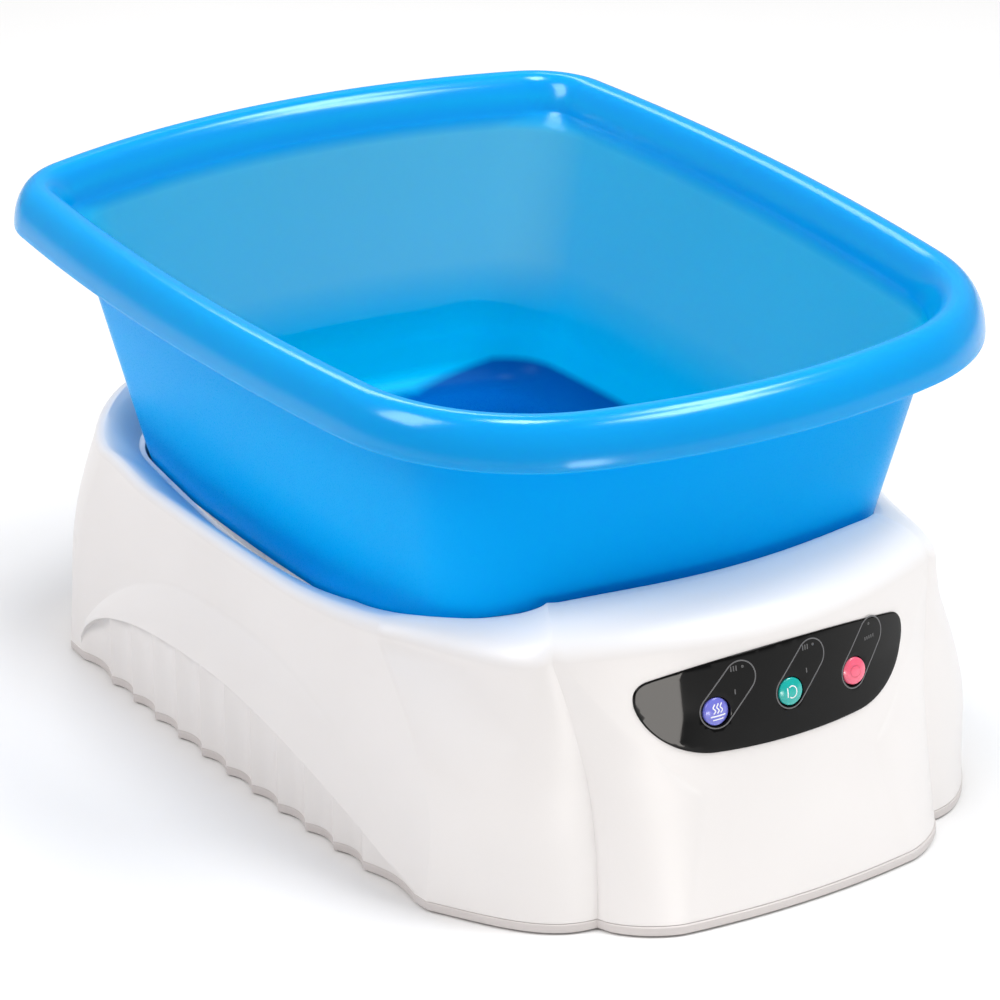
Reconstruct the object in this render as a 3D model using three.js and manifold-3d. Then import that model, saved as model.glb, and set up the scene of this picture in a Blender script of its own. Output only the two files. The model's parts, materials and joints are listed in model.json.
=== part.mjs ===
// Foot spa basin: a lift-out tub on a powered base. Millimetres, +Z up, controls facing -Y.
import * as THREE from "three";
import Module from "manifold-3d";
import { mergeVertices } from "three/addons/utils/BufferGeometryUtils.js";

const wasm = await Module();
wasm.setup();

// ---- driving dimensions -------------------------------------------------------------------
const ORIGIN = [0, 13, 1]; // from the design origin (rim centre, tray underside) to the part's frame
const RIM = { a: 180.1, b: 240.1, widest: 43, rs: 1518, rf: 372, rr: 426, cf: 101, cr: 42 };
const RIM_TOP = 263;
const RIM_OUT = 13.9; // roll beyond the crest line
const RIM_LIP = 238.9; // lower edge of the roll
const TUB_WALL = 2.6;
const WALL_IN = 14.5; // outer wall face at the roll, inside the crest line
const WALL_TAPER = 0.2411;
const TUB_FLOOR = 95;
const TUB_UNDER = 92.4;
const FLOOR_BEND = 14;
const WELL_GAP = 3.2;
const WELL_FLOOR = 91.6;
const SHELL = 3;
const SEAM = 5; // height of the tray's visible edge
const SIDE_X = 178; // ridge line of the flutes
const FLUTE_PITCH = 25;
const FLUTE_DEEP = 4;
const FIRST_RIDGE = 114;
const SIDE_FRONT = -188; // where the side meets the front corner at the bottom
const SIDE_REAR = 166;
const CORNER_LEAN = 0.03; // extra inward lean of the front corners
const EDGE_LOW = 100.5; // height of the well's edge where it is lowest, beside the tub
const EDGE_LOW_AT = 10; // plan direction of that place in degrees, 90 at the rear
const EDGE_SAG = 12; // rise of the sagging stretch before the edge climbs to the front
const EDGE_FRONT = 150;
const EDGE_REAR = 121;
const REAR_SHARE = 0.4; // how much of the front crease's sweep the rear crease has
const PANEL_R = 200; // plan radius of the control panel
const FRONT_Y = -280;
const FRONT_LEAN = 0.19;
const PANEL_THICK = 1.5;
const BUTTON_X = 41;
const BUTTON_Z = 105;
const BUTTON_R = 7;
const BUTTON_PLAY = 0.35;
const BUTTON_TRAVEL = 0.8;

// ---- small helpers ------------------------------------------------------------------------
const lerp = (a, b, t) => a + (b - a) * t;
const clamp = (v, a, b) => Math.min(b, Math.max(a, v));
const smooth = (t) => {
  const c = clamp(t, 0, 1);
  return c * c * (3 - 2 * c);
};
const root = new THREE.Group();
root.name = "foot_spa_basin";
const inner = new THREE.Group();
inner.position.set(...ORIGIN);
root.add(inner);

const PAINT = {
  tub: [0x0a96e8, 0.25],
  housing: [0xf2efee, 0.35],
  tray: [0xd2ccca, 0.6],
  fascia: [0x08080a, 0.08],
  violet: [0x6f77d6, 0.3],
  teal: [0x20a89c, 0.3],
  pink: [0xf06a86, 0.3],
  board: [0x1d6b3a, 0.5],
  black: [0x1a1a1c, 0.5],
  lamp: [0xf4e9d6, 0.3],
  steel: [0xb8bcc0, 0.35],
  alloy: [0xc6c9cc, 0.45],
  copper: [0xb5693a, 0.4],
  rubber: [0x2b2b2d, 0.9],
  wire_red: [0xa82a22, 0.5],
  wire_blue: [0x2450a8, 0.5],
};

function node(name, manifold, paint) {
  const m = manifold.getMesh();
  const g = new THREE.BufferGeometry();
  const v = new Float32Array((m.vertProperties.length / m.numProp) * 3);
  for (let i = 0; i < v.length / 3; i++) {
    v.set(m.vertProperties.subarray(i * m.numProp, i * m.numProp + 3), i * 3);
  }
  g.setAttribute("position", new THREE.BufferAttribute(v, 3));
  g.setIndex(new THREE.BufferAttribute(new Uint32Array(m.triVerts), 1));
  g.computeVertexNormals();
  const [color, roughness] = PAINT[paint];
  const mesh = new THREE.Mesh(g, new THREE.MeshStandardMaterial({ color, roughness }));
  mesh.name = name;
  inner.add(mesh);
}

function solid(geometry) {
  const g = geometry.clone();
  g.deleteAttribute("normal");
  g.deleteAttribute("uv");
  const merged = mergeVertices(g, 1e-4);
  return new wasm.Manifold(
    new wasm.Mesh({
      numProp: 3,
      vertProperties: new Float32Array(merged.attributes.position.array),
      triVerts: new Uint32Array(merged.index.array),
    }),
  );
}

function box(x0, y0, z0, x1, y1, z1) {
  const g = new THREE.BoxGeometry(x1 - x0, y1 - y0, z1 - z0);
  g.translate((x0 + x1) / 2, (y0 + y1) / 2, (z0 + z1) / 2);
  return solid(g);
}

// Upright cylinder, or a cone frustum when r1 is given.
function post(x, y, z0, z1, r0, r1 = r0, n = 24) {
  const g = new THREE.CylinderGeometry(r1, r0, z1 - z0, n);
  g.rotateX(Math.PI / 2);
  g.translate(x, y, (z0 + z1) / 2);
  return solid(g);
}

// Cylinder between two points.
function rod(p, q, r, n = 20) {
  const a = new THREE.Vector3(...p);
  const b = new THREE.Vector3(...q);
  const g = new THREE.CylinderGeometry(r, r, a.distanceTo(b), n);
  const turn = new THREE.Quaternion();
  turn.setFromUnitVectors(new THREE.Vector3(0, 1, 0), b.clone().sub(a).normalize());
  g.applyQuaternion(turn);
  g.translate((a.x + b.x) / 2, (a.y + b.y) / 2, (a.z + b.z) / 2);
  return solid(g);
}

function plate(shape, depth, segments = 6) {
  return new THREE.ExtrudeGeometry(shape, { depth, bevelEnabled: false, curveSegments: segments });
}

function roundedRect(x0, y0, x1, y1, r) {
  const s = new THREE.Shape();
  s.moveTo(x0 + r, y0);
  s.lineTo(x1 - r, y0);
  s.absarc(x1 - r, y0 + r, r, -Math.PI / 2, 0);
  s.lineTo(x1, y1 - r);
  s.absarc(x1 - r, y1 - r, r, 0, Math.PI / 2);
  s.lineTo(x0 + r, y1);
  s.absarc(x0 + r, y1 - r, r, Math.PI / 2, Math.PI);
  s.lineTo(x0, y0 + r);
  s.absarc(x0 + r, y0 + r, r, Math.PI, 1.5 * Math.PI);
  return s;
}

function wire(points, r) {
  const path = new THREE.CatmullRomCurve3(points.map((p) => new THREE.Vector3(...p)));
  const s = new THREE.Shape();
  s.absarc(0, 0, r, 0, 2 * Math.PI);
  const g = new THREE.ExtrudeGeometry(s, { steps: 14, curveSegments: 3, extrudePath: path });
  return solid(g);
}

// Closed solid through a stack of rings with equal point counts, closed by a fan at each end.
function loft(rings, bottomCentre, topCentre) {
  const n = rings[0].length;
  const v = [];
  rings.forEach((r) => r.forEach((p) => v.push(...p)));
  const b = v.length / 3;
  v.push(...bottomCentre, ...topCentre);
  const f = [];
  for (let k = 0; k + 1 < rings.length; k++) {
    for (let i = 0; i < n; i++) {
      const j = (i + 1) % n;
      const p = k * n;
      f.push(p + i, p + j, p + n + j, p + i, p + n + j, p + n + i);
    }
  }
  const top = (rings.length - 1) * n;
  for (let i = 0; i < n; i++) {
    const j = (i + 1) % n;
    f.push(b, j, i, b + 1, top + i, top + j);
  }
  return new wasm.Manifold(
    new wasm.Mesh({
      numProp: 3,
      vertProperties: new Float32Array(v),
      triVerts: new Uint32Array(f),
    }),
  );
}

// ---- tub outline: bowed sides and ends joined by corner arcs --------------------------------
function cornerCentre(c1, r1, c2, r2, sy, rc) {
  const d = [c2[0] - c1[0], c2[1] - c1[1]];
  const len = Math.hypot(...d);
  const a = r1 - rc;
  const x = (a * a - (r2 - rc) * (r2 - rc) + len * len) / (2 * len);
  const h = Math.sqrt(Math.max(a * a - x * x, 0));
  const e = [d[0] / len, d[1] / len];
  const base = [c1[0] + e[0] * x, c1[1] + e[1] * x];
  const one = [base[0] - e[1] * h, base[1] + e[0] * h];
  const two = [base[0] + e[1] * h, base[1] - e[0] * h];
  return one[0] + sy * one[1] > two[0] + sy * two[1] ? one : two;
}

const TUB_STEPS = [4, 6, 6, 5, 4];

// Half outline from the front centre to the rear centre, then mirrored. grow is the offset
// from the crest line, cf and cr the corner radii.
function tubRing(grow, cf, cr, z, steps = TUB_STEPS) {
  const S = [RIM.a - RIM.rs, RIM.widest];
  const F = [0, -RIM.b + RIM.rf];
  const R = [0, RIM.b - RIM.rr];
  const [rs, rf, rr] = [RIM.rs + grow, RIM.rf + grow, RIM.rr + grow];
  const front = cornerCentre(S, rs, F, rf, -1, cf);
  const rear = cornerCentre(S, rs, R, rr, 1, cr);
  const angle = (p, c) => Math.atan2(p[1] - c[1], p[0] - c[0]);
  const spans = [
    [F, rf, -Math.PI / 2, angle(front, F)],
    [front, cf, angle(front, F), angle(front, S)],
    [S, rs, angle(front, S), angle(rear, S)],
    [rear, cr, angle(rear, S), angle(rear, R)],
    [R, rr, angle(rear, R), Math.PI / 2],
  ];
  const half = [];
  spans.forEach(([c, r, t0, t1], k) => {
    for (let i = 0; i < steps[k]; i++) {
      const t = lerp(t0, t1, i / steps[k]);
      half.push([c[0] + r * Math.cos(t), c[1] + r * Math.sin(t), z]);
    }
  });
  const end = [0, RIM.b + grow, z];
  const left = half.slice(1).reverse().map((p) => [-p[0], p[1], p[2]]);
  return [...half, end, ...left];
}

const wallGrow = (z) => -WALL_IN - (RIM_LIP - z) * WALL_TAPER;

// Ring on the tub's outer wall face at height z, grown outward by extra.
function wallRing(z, extra = 0, steps = TUB_STEPS, at = z) {
  const g = wallGrow(z);
  return tubRing(g + extra, 82 + g * 0.5 + extra, 60.7 + g * 0.5 + extra, at, steps);
}

function rollRing(grow, z) {
  return tubRing(grow, RIM.cf + grow, RIM.cr + grow, z);
}

function tubBody() {
  const rings = [];
  rings.push(wallRing(TUB_UNDER, -16, TUB_STEPS));
  rings.push(wallRing(TUB_UNDER, -9, TUB_STEPS));
  rings.push(wallRing(TUB_UNDER + 3, -3.4, TUB_STEPS));
  rings.push(wallRing(TUB_UNDER + 9, -0.4, TUB_STEPS));
  for (const z of [165, 232]) {
    rings.push(wallRing(z));
  }
  rings.push(rollRing(-13.6, 243));
  rings.push(rollRing(-11.2, 252));
  rings.push(rollRing(-5.5, 258.4));
  rings.push(rollRing(1.5, 260.1));
  rings.push(rollRing(7.5, 256.6));
  rings.push(rollRing(10.8, 249));
  rings.push(rollRing(11.6, RIM_LIP));
  rings.push(rollRing(RIM_OUT, RIM_LIP));
  const rise = RIM_TOP - RIM_LIP;
  for (const deg of [30, 60, 90]) {
    const a = (deg * Math.PI) / 180;
    rings.push(rollRing(RIM_OUT * Math.cos(a), RIM_LIP + rise * Math.sin(a)));
  }
  rings.push(rollRing(-4, 262.1));
  rings.push(rollRing(-8.2, 258.4));
  rings.push(rollRing(-12, 251.5));
  rings.push(rollRing(-14.9, 243));
  for (const z of [232, 165]) {
    rings.push(wallRing(z, -TUB_WALL));
  }
  rings.push(wallRing(TUB_FLOOR + FLOOR_BEND, -TUB_WALL - 0.3));
  rings.push(wallRing(TUB_FLOOR + 6.5, -TUB_WALL - 2));
  rings.push(wallRing(TUB_FLOOR + 2, -TUB_WALL - 6.5));
  rings.push(wallRing(TUB_FLOOR, -TUB_WALL - FLOOR_BEND));
  return loft(rings, [0, 0, TUB_UNDER], [0, 0, TUB_FLOOR]);
}

// Massage nodules moulded on the tub floor, one field under each foot.
function nodules() {
  const spots = [];
  for (const side of [-1, 1]) {
    for (let row = 0; row < 6; row++) {
      for (let col = 0; col < 3; col++) {
        const x = side * (34 + 21 * col);
        spots.push([x + (row % 2) * side * 6, -100 + 40 * row]);
      }
    }
  }
  const profile = [
    [0, -1],
    [5, -1],
    [4, 3],
    [0, 4.6],
  ].map((p) => new THREE.Vector2(...p));
  return spots.map(([x, y]) => {
    const g = new THREE.LatheGeometry(profile, 6);
    g.rotateX(Math.PI / 2);
    g.translate(x, y, TUB_FLOOR);
    return solid(g);
  });
}

// ---- base outline ---------------------------------------------------------------------------
const sideInset = (z) => 0.05 * z + 0.0005 * z * z;
const frontInset = (z) => 0.1 * z + 0.00066 * z * z;
const rearInset = (z) => 0.06 * z + 0.0006 * z * z;
const creaseShift = (z) => (z < 40 ? 0 : 61 * Math.pow((z - 40) / 85, 1.6));
const ridgeX = (y) => SIDE_X - ((y - 75) * (y - 75)) / 4500;

function creaseX(z) {
  const waist = 2 * Math.sin((Math.PI * clamp(z, 0, 90)) / 90);
  return 102 - waist + 13 * Math.pow(clamp((z - 70) / 74, 0, 1.2), 1.6);
}

function visorX(z) {
  if (z < 66) return lerp(66, 50, z / 66);
  return 50 + 65 * Math.pow(clamp((z - 66) / 78, 0, 1.2), 0.8);
}

function frontY(x, z) {
  const bow = lerp(1 / 900, 1 / (2 * PANEL_R), clamp(z / 105, 0, 1));
  return FRONT_Y + FRONT_LEAN * z + x * x * bow;
}

function flute(y) {
  if (y > 150 || y < -178) return 0;
  if (y > FIRST_RIDGE) return FLUTE_DEEP * Math.sin((Math.PI * (y - FIRST_RIDGE)) / 36);
  const last = FIRST_RIDGE - 10 * FLUTE_PITCH;
  if (y < last) return FLUTE_DEEP * Math.sin((Math.PI * (last - y)) / 42);
  const t = (FIRST_RIDGE - y) / FLUTE_PITCH;
  const s = (t - Math.floor(t)) * 2 - 1;
  return FLUTE_DEEP * (1 - s * s);
}

function archIn(y) {
  if (y < 5) return SEAM + 49.5 * (1 - Math.pow(clamp((5 - y) / 183, 0, 1), 1.7));
  return SEAM + 49.5 * Math.sqrt(1 - Math.pow(clamp((y - 5) / 147, 0, 1), 2.3));
}

function archOut(y) {
  const t = y < 0 ? -y / 187 : y / 165;
  return SEAM + 81.5 * (1 - Math.pow(clamp(t, 0, 1), 2.6));
}

// Columns of the right half, front centre to rear centre.
function columns(fine) {
  const list = [];
  const nf = fine ? 5 : 3;
  for (let i = 0; i < nf; i++) list.push({ part: "bulge", t: i / nf });
  for (let i = 0; i < nf; i++) list.push({ part: "cheek", t: i / nf });
  const nb = fine ? 7 : 4;
  for (let i = 0; i < nb; i++) list.push({ part: "corner", t: i / nb });
  const ys = [-188, -182, -174, -163, -149];
  const per = fine ? 3 : 1;
  for (let k = 10; k >= 0; k--) {
    for (let i = 0; i < per; i++) ys.push(FIRST_RIDGE - k * FLUTE_PITCH + (i * FLUTE_PITCH) / per);
  }
  ys.splice(ys.length - per + 1, per - 1);
  ys.push(123, 132, 140, 146, 150, 158);
  if (!fine) ys.splice(0, ys.length, -188, -150, -110, -60, 0, 60, 110, 150);
  ys.forEach((y) => list.push({ part: "side", y }));
  const nr = fine ? 6 : 4;
  for (let i = 0; i < nr; i++) list.push({ part: "back", t: i / nr });
  for (let i = 0; i < 4; i++) list.push({ part: "rear", t: i / 4 });
  list.push({ part: "rear", t: 1 });
  return list;
}

const bezier = (p, t) => {
  const u = 1 - t;
  const w = [u * u * u, 3 * u * u * t, 3 * u * t * t, t * t * t];
  return [0, 1].map((k) => w[0] * p[0][k] + w[1] * p[1][k] + w[2] * p[2][k] + w[3] * p[3][k]);
};

// Outer surface point of one column at height z, without flutes and arch.
function hull(c, z) {
  const xe = visorX(z);
  const xc = Math.max(creaseX(z), xe + 0.6);
  const yc = -247 + frontInset(z);
  if (c.part === "bulge") {
    const x = xe * c.t;
    return [x, frontY(x, z)];
  }
  if (c.part === "cheek") {
    const x = lerp(xe, xc, c.t);
    const p = lerp(1.5, 1.1, smooth((z - 60) / 40));
    const g = Math.pow(Math.max(1 - Math.pow(c.t, p), 0), 1 / p);
    return [x, lerp(yc, Math.min(frontY(xe, z), yc - 0.2), g)];
  }
  const s = smooth(z / 90);
  if (c.part === "corner") {
    const lean = CORNER_LEAN * z;
    const ys = SIDE_FRONT + creaseShift(z);
    const xs = ridgeX(SIDE_FRONT) - sideInset(z);
    const end = [ridgeX(ys) - sideInset(z), ys];
    const p1 = [xc + 28 - lean, yc + 1 + lean];
    const p2 = [xs - lerp(18, 5, s) - lean, ys - lerp(29, 40, s) + lean];
    return bezier([[xc, yc], p1, p2, end], c.t);
  }
  if (c.part === "side") {
    const frontPart = clamp((-60 - c.y) / 128, 0, 1);
    const rearPart = REAR_SHARE * clamp((c.y - 60) / 106, 0, 1);
    const y = c.y + creaseShift(z) * (frontPart - rearPart);
    return [ridgeX(y) - sideInset(z), y];
  }
  const yr = SIDE_REAR - REAR_SHARE * creaseShift(z);
  const xr = ridgeX(yr) - sideInset(z);
  const yb = 228 - rearInset(z);
  if (c.part === "back") {
    const p1 = [xr - lerp(18, 6, s), yr + lerp(29, 34, s)];
    return bezier([[xr, yr], p1, [140 - 0.1 * z, yb - 2], [108, yb]], c.t);
  }
  const x = 108 * (1 - c.t);
  return [x, yb + 2 * (1 - (x * x) / (108 * 108))];
}

// Shoulder height and crown size along the outline.
function shoulder(c) {
  const t = c.t;
  if (c.part === "bulge") return [lerp(155, 154, t * t), 42, 21];
  if (c.part === "cheek") return [lerp(154, 150, t), lerp(42, 36, t), lerp(21, 20, t)];
  if (c.part === "corner") {
    return [150 - 19.5 * Math.pow(t, 0.85), lerp(36, 9, t), lerp(20, 9, t)];
  }
  if (c.part === "side") {
    const rise = clamp((-40 - c.y) / 148, 0, 1);
    const z = 121 + 9.5 * Math.pow(rise, 1.5) + 4 * smooth((c.y - 100) / 60);
    return [z, 6 + 3 * rise, 6 + 3 * rise];
  }
  if (c.part === "back") return [lerp(125, 134, smooth(t)), lerp(6, 8, t), lerp(6, 8, t)];
  return [lerp(134, 138, smooth(t)), 8, 8];
}

// Height of the well's edge towards a point: lowest beside the tub, high behind the controls, a
// little higher at the rear. The plan direction is -90 degrees at the front and 90 at the rear.
function edgeHeight(x, y) {
  const turn = (Math.atan2(y, Math.abs(x)) * 180) / Math.PI;
  const sag = clamp((EDGE_LOW_AT - turn) / 38, 0, 1) ** 2;
  const climb = smooth((-25 - turn) / 47);
  const rear = smooth((turn - 16) / 68);
  const frontRise = EDGE_FRONT - EDGE_LOW - EDGE_SAG;
  return EDGE_LOW + EDGE_SAG * sag + frontRise * climb + (EDGE_REAR - EDGE_LOW) * rear;
}

const wellLines = new Map();

// Point of the well's edge at height z in the plan direction of p.
function towardWell(p, z = 120) {
  const level = Math.round(z / 2) * 2;
  if (!wellLines.has(level)) {
    wellLines.set(level, wallRing(level, WELL_GAP, [30, 30, 40, 30, 20]));
  }
  const a = Math.atan2(p[1], p[0]);
  let best = null;
  let gap = 9;
  for (const q of wellLines.get(level)) {
    const turn = Math.atan2(q[1], q[0]) - a;
    const d = Math.abs(Math.atan2(Math.sin(turn), Math.cos(turn)));
    if (d < gap) {
      gap = d;
      best = q;
    }
  }
  return best;
}

// One column of the base's outer skin from the seam to the well edge, moved inward by skin and
// lowered by drop at the top.
function skinColumn(c, skin, drop, featured) {
  const [zs, cw, ch] = shoulder(c);
  const zc = zs - ch;
  const column = [];
  let levels = [0, 0.2, 0.4, 0.6, 0.8].map((t) => lerp(SEAM, 84, t));
  let outs = [0, 0, 0, 0, 0];
  if (c.part === "side" && featured) {
    const zi = Math.max(archIn(c.y), SEAM + 0.5);
    const zo = Math.max(archOut(c.y), zi + 1.6);
    levels = [SEAM, zi - 0.25, zi, lerp(zi, zo, 0.5), zo];
    const lip = 1.2 * smooth((zi - SEAM) / 12);
    outs = [
      sideInset(levels[0]) - flute(c.y),
      sideInset(levels[1]) - flute(c.y),
      sideInset(levels[2]) + lip,
      sideInset(levels[3]) * 0.62 - sideInset(levels[4]) * 0.12 + 0.45 * lip,
      0,
    ];
  }
  const start = levels[4];
  for (const t of [0.33, 0.67, 1]) {
    levels.push(lerp(start, zc, t));
    outs.push(0);
  }
  const move = (p, q, d) => {
    const len = Math.hypot(q[0] - p[0], q[1] - p[1]);
    return [p[0] + ((q[0] - p[0]) * d) / len, p[1] + ((q[1] - p[1]) * d) / len];
  };
  levels.forEach((z, i) => {
    const p = hull(c, z);
    const inward = c.part === "side" ? [p[0] - 9, p[1]] : towardWell(p);
    const q = move(p, inward, skin - outs[i]);
    column.push([q[0], q[1], z - (i === levels.length - 1 ? drop * 0.5 : 0)]);
  });
  const edge = hull(c, zc);
  const q = towardWell(edge, zs - 6);
  const room = Math.hypot(q[0] - edge[0], q[1] - edge[1]);
  const wide = Math.min(cw, room * 0.85);
  for (const deg of [30, 60, 90]) {
    const a = (deg * Math.PI) / 180;
    const p = move(edge, q, wide * (1 - Math.cos(a)) + skin * Math.cos(a));
    column.push([p[0], p[1], zc + ch * Math.sin(a) - drop]);
  }
  const left = room - wide;
  const fall = zs - edgeHeight(q[0], q[1]);
  const m = move(edge, q, wide + left * 0.5);
  column.push([m[0], m[1], zs - fall * 0.42 - drop]);
  const w = move(edge, q, room + 1.2);
  column.push([w[0], w[1], zs - fall * 1.08 - drop]);
  return column;
}

function skin(inset, drop, fine, featured, lowest) {
  const half = columns(fine).map((c) => skinColumn(c, inset(c), drop, featured));
  const mirror = half.slice(1, -1).reverse().map((col) => col.map((p) => [-p[0], p[1], p[2]]));
  const all = [...half, ...mirror];
  const rings = all[0].map((_, k) => all.map((col) => col[k]));
  if (lowest !== undefined) {
    rings.unshift(all.map((col) => [col[0][0], col[0][1], lowest]));
  }
  return loft(rings, [0, 0, lowest === undefined ? SEAM : lowest], [0, 0, 105]);
}

// ---- control panel --------------------------------------------------------------------------
function panelPrism(grow) {
  const s = new THREE.Shape();
  const g = grow;
  s.moveTo(-44, 85 - g);
  s.quadraticCurveTo(0, 83.6 - g, 44, 85 - g);
  s.bezierCurveTo(62, 86.5 - g, 76 + g, 97 - g * 0.4, 79.6 + g, 111);
  s.bezierCurveTo(81 + g, 118, 78.5 + g * 0.8, 122.5 + g * 0.7, 71.5, 124 + g);
  s.quadraticCurveTo(38, 132 + g, 0, 132 + g);
  s.quadraticCurveTo(-38, 132 + g, -71.5, 124 + g);
  s.bezierCurveTo(-78.5 - g * 0.8, 122.5 + g * 0.7, -81 - g, 118, -79.6 - g, 111);
  s.bezierCurveTo(-76 - g, 97 - g * 0.4, -62, 86.5 - g, -44, 85 - g);
  const geo = plate(s, 120, 4);
  geo.rotateX(Math.PI / 2);
  geo.translate(0, -180, 0);
  return solid(geo);
}

// Curved slab that follows the panel's surface, from depth d0 to depth d1 behind it.
function panelSlab(d0, d1) {
  const rings = [];
  for (let i = 0; i <= 12; i++) {
    const x = lerp(-92, 92, i / 12);
    const front = [];
    const back = [];
    for (let k = 0; k <= 2; k++) {
      const z = lerp(140, 78, k / 2);
      front.push([x, frontY(x, z) + d0, z]);
      back.unshift([x, frontY(x, z) + d1, z]);
    }
    rings.push([...front, ...back]);
  }
  const centre = (x) => [x, frontY(x, 109) + (d0 + d1) / 2, 109];
  return loft(rings, centre(-92), centre(92));
}

const PRESS = new THREE.Vector3(0, 1, -FRONT_LEAN).normalize(); // the way a button is pushed

function panelPoint(x, z, out) {
  const y = frontY(x, z);
  return [x, y - PRESS.y * out, z - PRESS.z * out];
}

const BUTTONS = [
  ["button_wave", -BUTTON_X, "violet"],
  ["button_bubble", 0, "teal"],
  ["button_power", BUTTON_X, "pink"],
];

const buttonZ = (x) => BUTTON_Z + (x === 0 ? 1.5 : 0);
const BOARD_BACK = 17; // board face behind the panel's centre
const boardAt = panelPoint(0, BUTTON_Z, -BOARD_BACK);
const boardBasis = new THREE.Matrix4().set(
  1, 0, 0, boardAt[0],
  0, -PRESS.z, -PRESS.y, boardAt[1],
  0, PRESS.y, -PRESS.z, boardAt[2],
  0, 0, 0, 1,
);

// Board coordinates of a point: along the board, up the board, in front of its face.
function boardPoint(p) {
  return new THREE.Vector3(...p).applyMatrix4(boardBasis.clone().invert()).toArray();
}

// Cylinder, or box when half sizes are given, standing on the board.
function boardPost(u, v, w0, w1, r, n = 16) {
  const g = new THREE.CylinderGeometry(r, r, w1 - w0, n);
  g.rotateX(Math.PI / 2);
  g.translate(u, v, (w0 + w1) / 2);
  g.applyMatrix4(boardBasis);
  return solid(g);
}

function boardBox(u, v, w0, w1, hu, hv) {
  const g = new THREE.BoxGeometry(2 * hu, 2 * hv, w1 - w0);
  g.translate(u, v, (w0 + w1) / 2);
  g.applyMatrix4(boardBasis);
  return solid(g);
}

// ---- build ----------------------------------------------------------------------------------
const outer = skin(() => 0, 0, true, true);
const cavity = skin((c) => (c.part === "side" ? 7.5 : SHELL), 3.4, false, false, -5);
const WELL_STEPS = [4, 7, 6, 6, 4];
const wellSolid = (grow, z0) =>
  loft(
    [wallRing(z0, grow, WELL_STEPS), wallRing(190, grow, WELL_STEPS)],
    [0, 0, z0],
    [0, 0, 190],
  );
const wellCut = wellSolid(WELL_GAP, WELL_FLOOR);
const wellSkirt = wellSolid(WELL_GAP + SHELL, WELL_FLOOR - SHELL);

node("tub", nodules().reduce((a, b) => a.add(b), tubBody()), "tub");

let housing = outer.subtract(cavity.subtract(wellSkirt)).subtract(wellCut);
const bosses = [];
for (const x of [-100, 100]) {
  for (const y of [-150, 0, 140]) bosses.push([x, y]);
}
for (const [x, y] of bosses) {
  housing = housing.add(post(x, y, 9, WELL_FLOOR - 1, 6, 6, 16));
  housing = housing.subtract(post(x, y, 5, 30, 1.6, 1.6, 10));
}
// window for the heated plate, with a ledge round it
housing = housing.subtract(box(-62, -92, 80, 62, 92, 100));
housing = housing.subtract(box(-68, -98, WELL_FLOOR - 1.3, 68, 98, 100));
// panel seat
housing = housing.subtract(panelPrism(0).intersect(panelSlab(-8, 1.9)));
housing = housing.subtract(box(-58, -300, 92, 58, -225, 124));
// inlet opening in the rear wall
const INLET = { x: 60, z: 34, w: 15, h: 10 };
const openW = INLET.w + 0.4;
const openH = INLET.h + 0.4;
housing = housing.subtract(
  box(INLET.x - openW, 205, INLET.z - openH, INLET.x + openW, 245, INLET.z + openH),
);
node("housing", housing, "housing");

// tray
function footprint(inset, z, fine = true) {
  const half = columns(fine).map((c) => {
    const p = hull(c, 0);
    const out = c.part === "side" && fine ? -flute(c.y) : 0;
    const q = c.part === "side" ? [p[0] - 9, p[1]] : towardWell(p);
    const len = Math.hypot(q[0] - p[0], q[1] - p[1]);
    const d = inset - out;
    return [p[0] + ((q[0] - p[0]) * d) / len, p[1] + ((q[1] - p[1]) * d) / len, z];
  });
  const mirror = half.slice(1, -1).reverse().map((p) => [-p[0], p[1], p[2]]);
  return [...half, ...mirror];
}

const trayTop = SEAM - 0.3;
let tray = loft(
  [footprint(0.8, 0), footprint(0, 0.8), footprint(0, trayTop)],
  [0, 0, 0],
  [0, 0, trayTop],
);
const recess = loft([footprint(9, 2.4, false), footprint(9, 9, false)], [0, 0, 2.4], [0, 0, 9]);
tray = tray.subtract(recess);
for (const [x, y] of bosses) {
  tray = tray.add(post(x, y, 1, 8.7, 7, 6, 16));
  tray = tray.subtract(post(x, y, -1, 12, 2.2, 2.2, 12));
  tray = tray.subtract(post(x, y, -1, 3.4, 4.6, 4.6, 16));
}
for (const x of [-60, -20, 20, 60]) tray = tray.add(box(x - 1, -150, 2, x + 1, 165, 5));
const FEET = [
  [-138, -178],
  [138, -178],
  [-142, 178],
  [142, 178],
];
for (const [x, y] of FEET) tray = tray.subtract(post(x, y, -1, 1.2, 9.3, 9.3, 24));
node("tray", tray, "tray");

FEET.forEach(([x, y], i) => {
  const corner = ["front_left", "front_right", "rear_left", "rear_right"][i];
  node("foot_" + corner, post(x, y, -1, 1.1, 8.4, 9, 24), "rubber");
});

bosses.forEach(([x, y], i) => {
  const slot = box(x - 3, y - 0.4, 1, x + 3, y + 0.4, 1.9);
  const head = post(x, y, 1.2, 3.3, 3.8, 3.8, 16).subtract(slot);
  node("tray_screw_" + (i + 1), head.add(post(x, y, 3.2, 24, 1.5, 1.5, 10)), "steel");
});

// fascia with button holes
let fascia = panelPrism(-0.4).intersect(panelSlab(0.1, 0.1 + PANEL_THICK));
for (const [, x] of BUTTONS) {
  const front = panelPoint(x, buttonZ(x), 6);
  const back = panelPoint(x, buttonZ(x), -6);
  fascia = fascia.subtract(rod(front, back, BUTTON_R + BUTTON_PLAY, 32));
}
node("fascia", fascia, "fascia");

const boardShape = roundedRect(-58, -11, 62, 21, 2);
const boardGeometry = plate(boardShape, 1.6, 3);
boardGeometry.translate(0, 0, -1.6);
boardGeometry.applyMatrix4(boardBasis);
node("control_board", solid(boardGeometry), "board");

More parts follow.
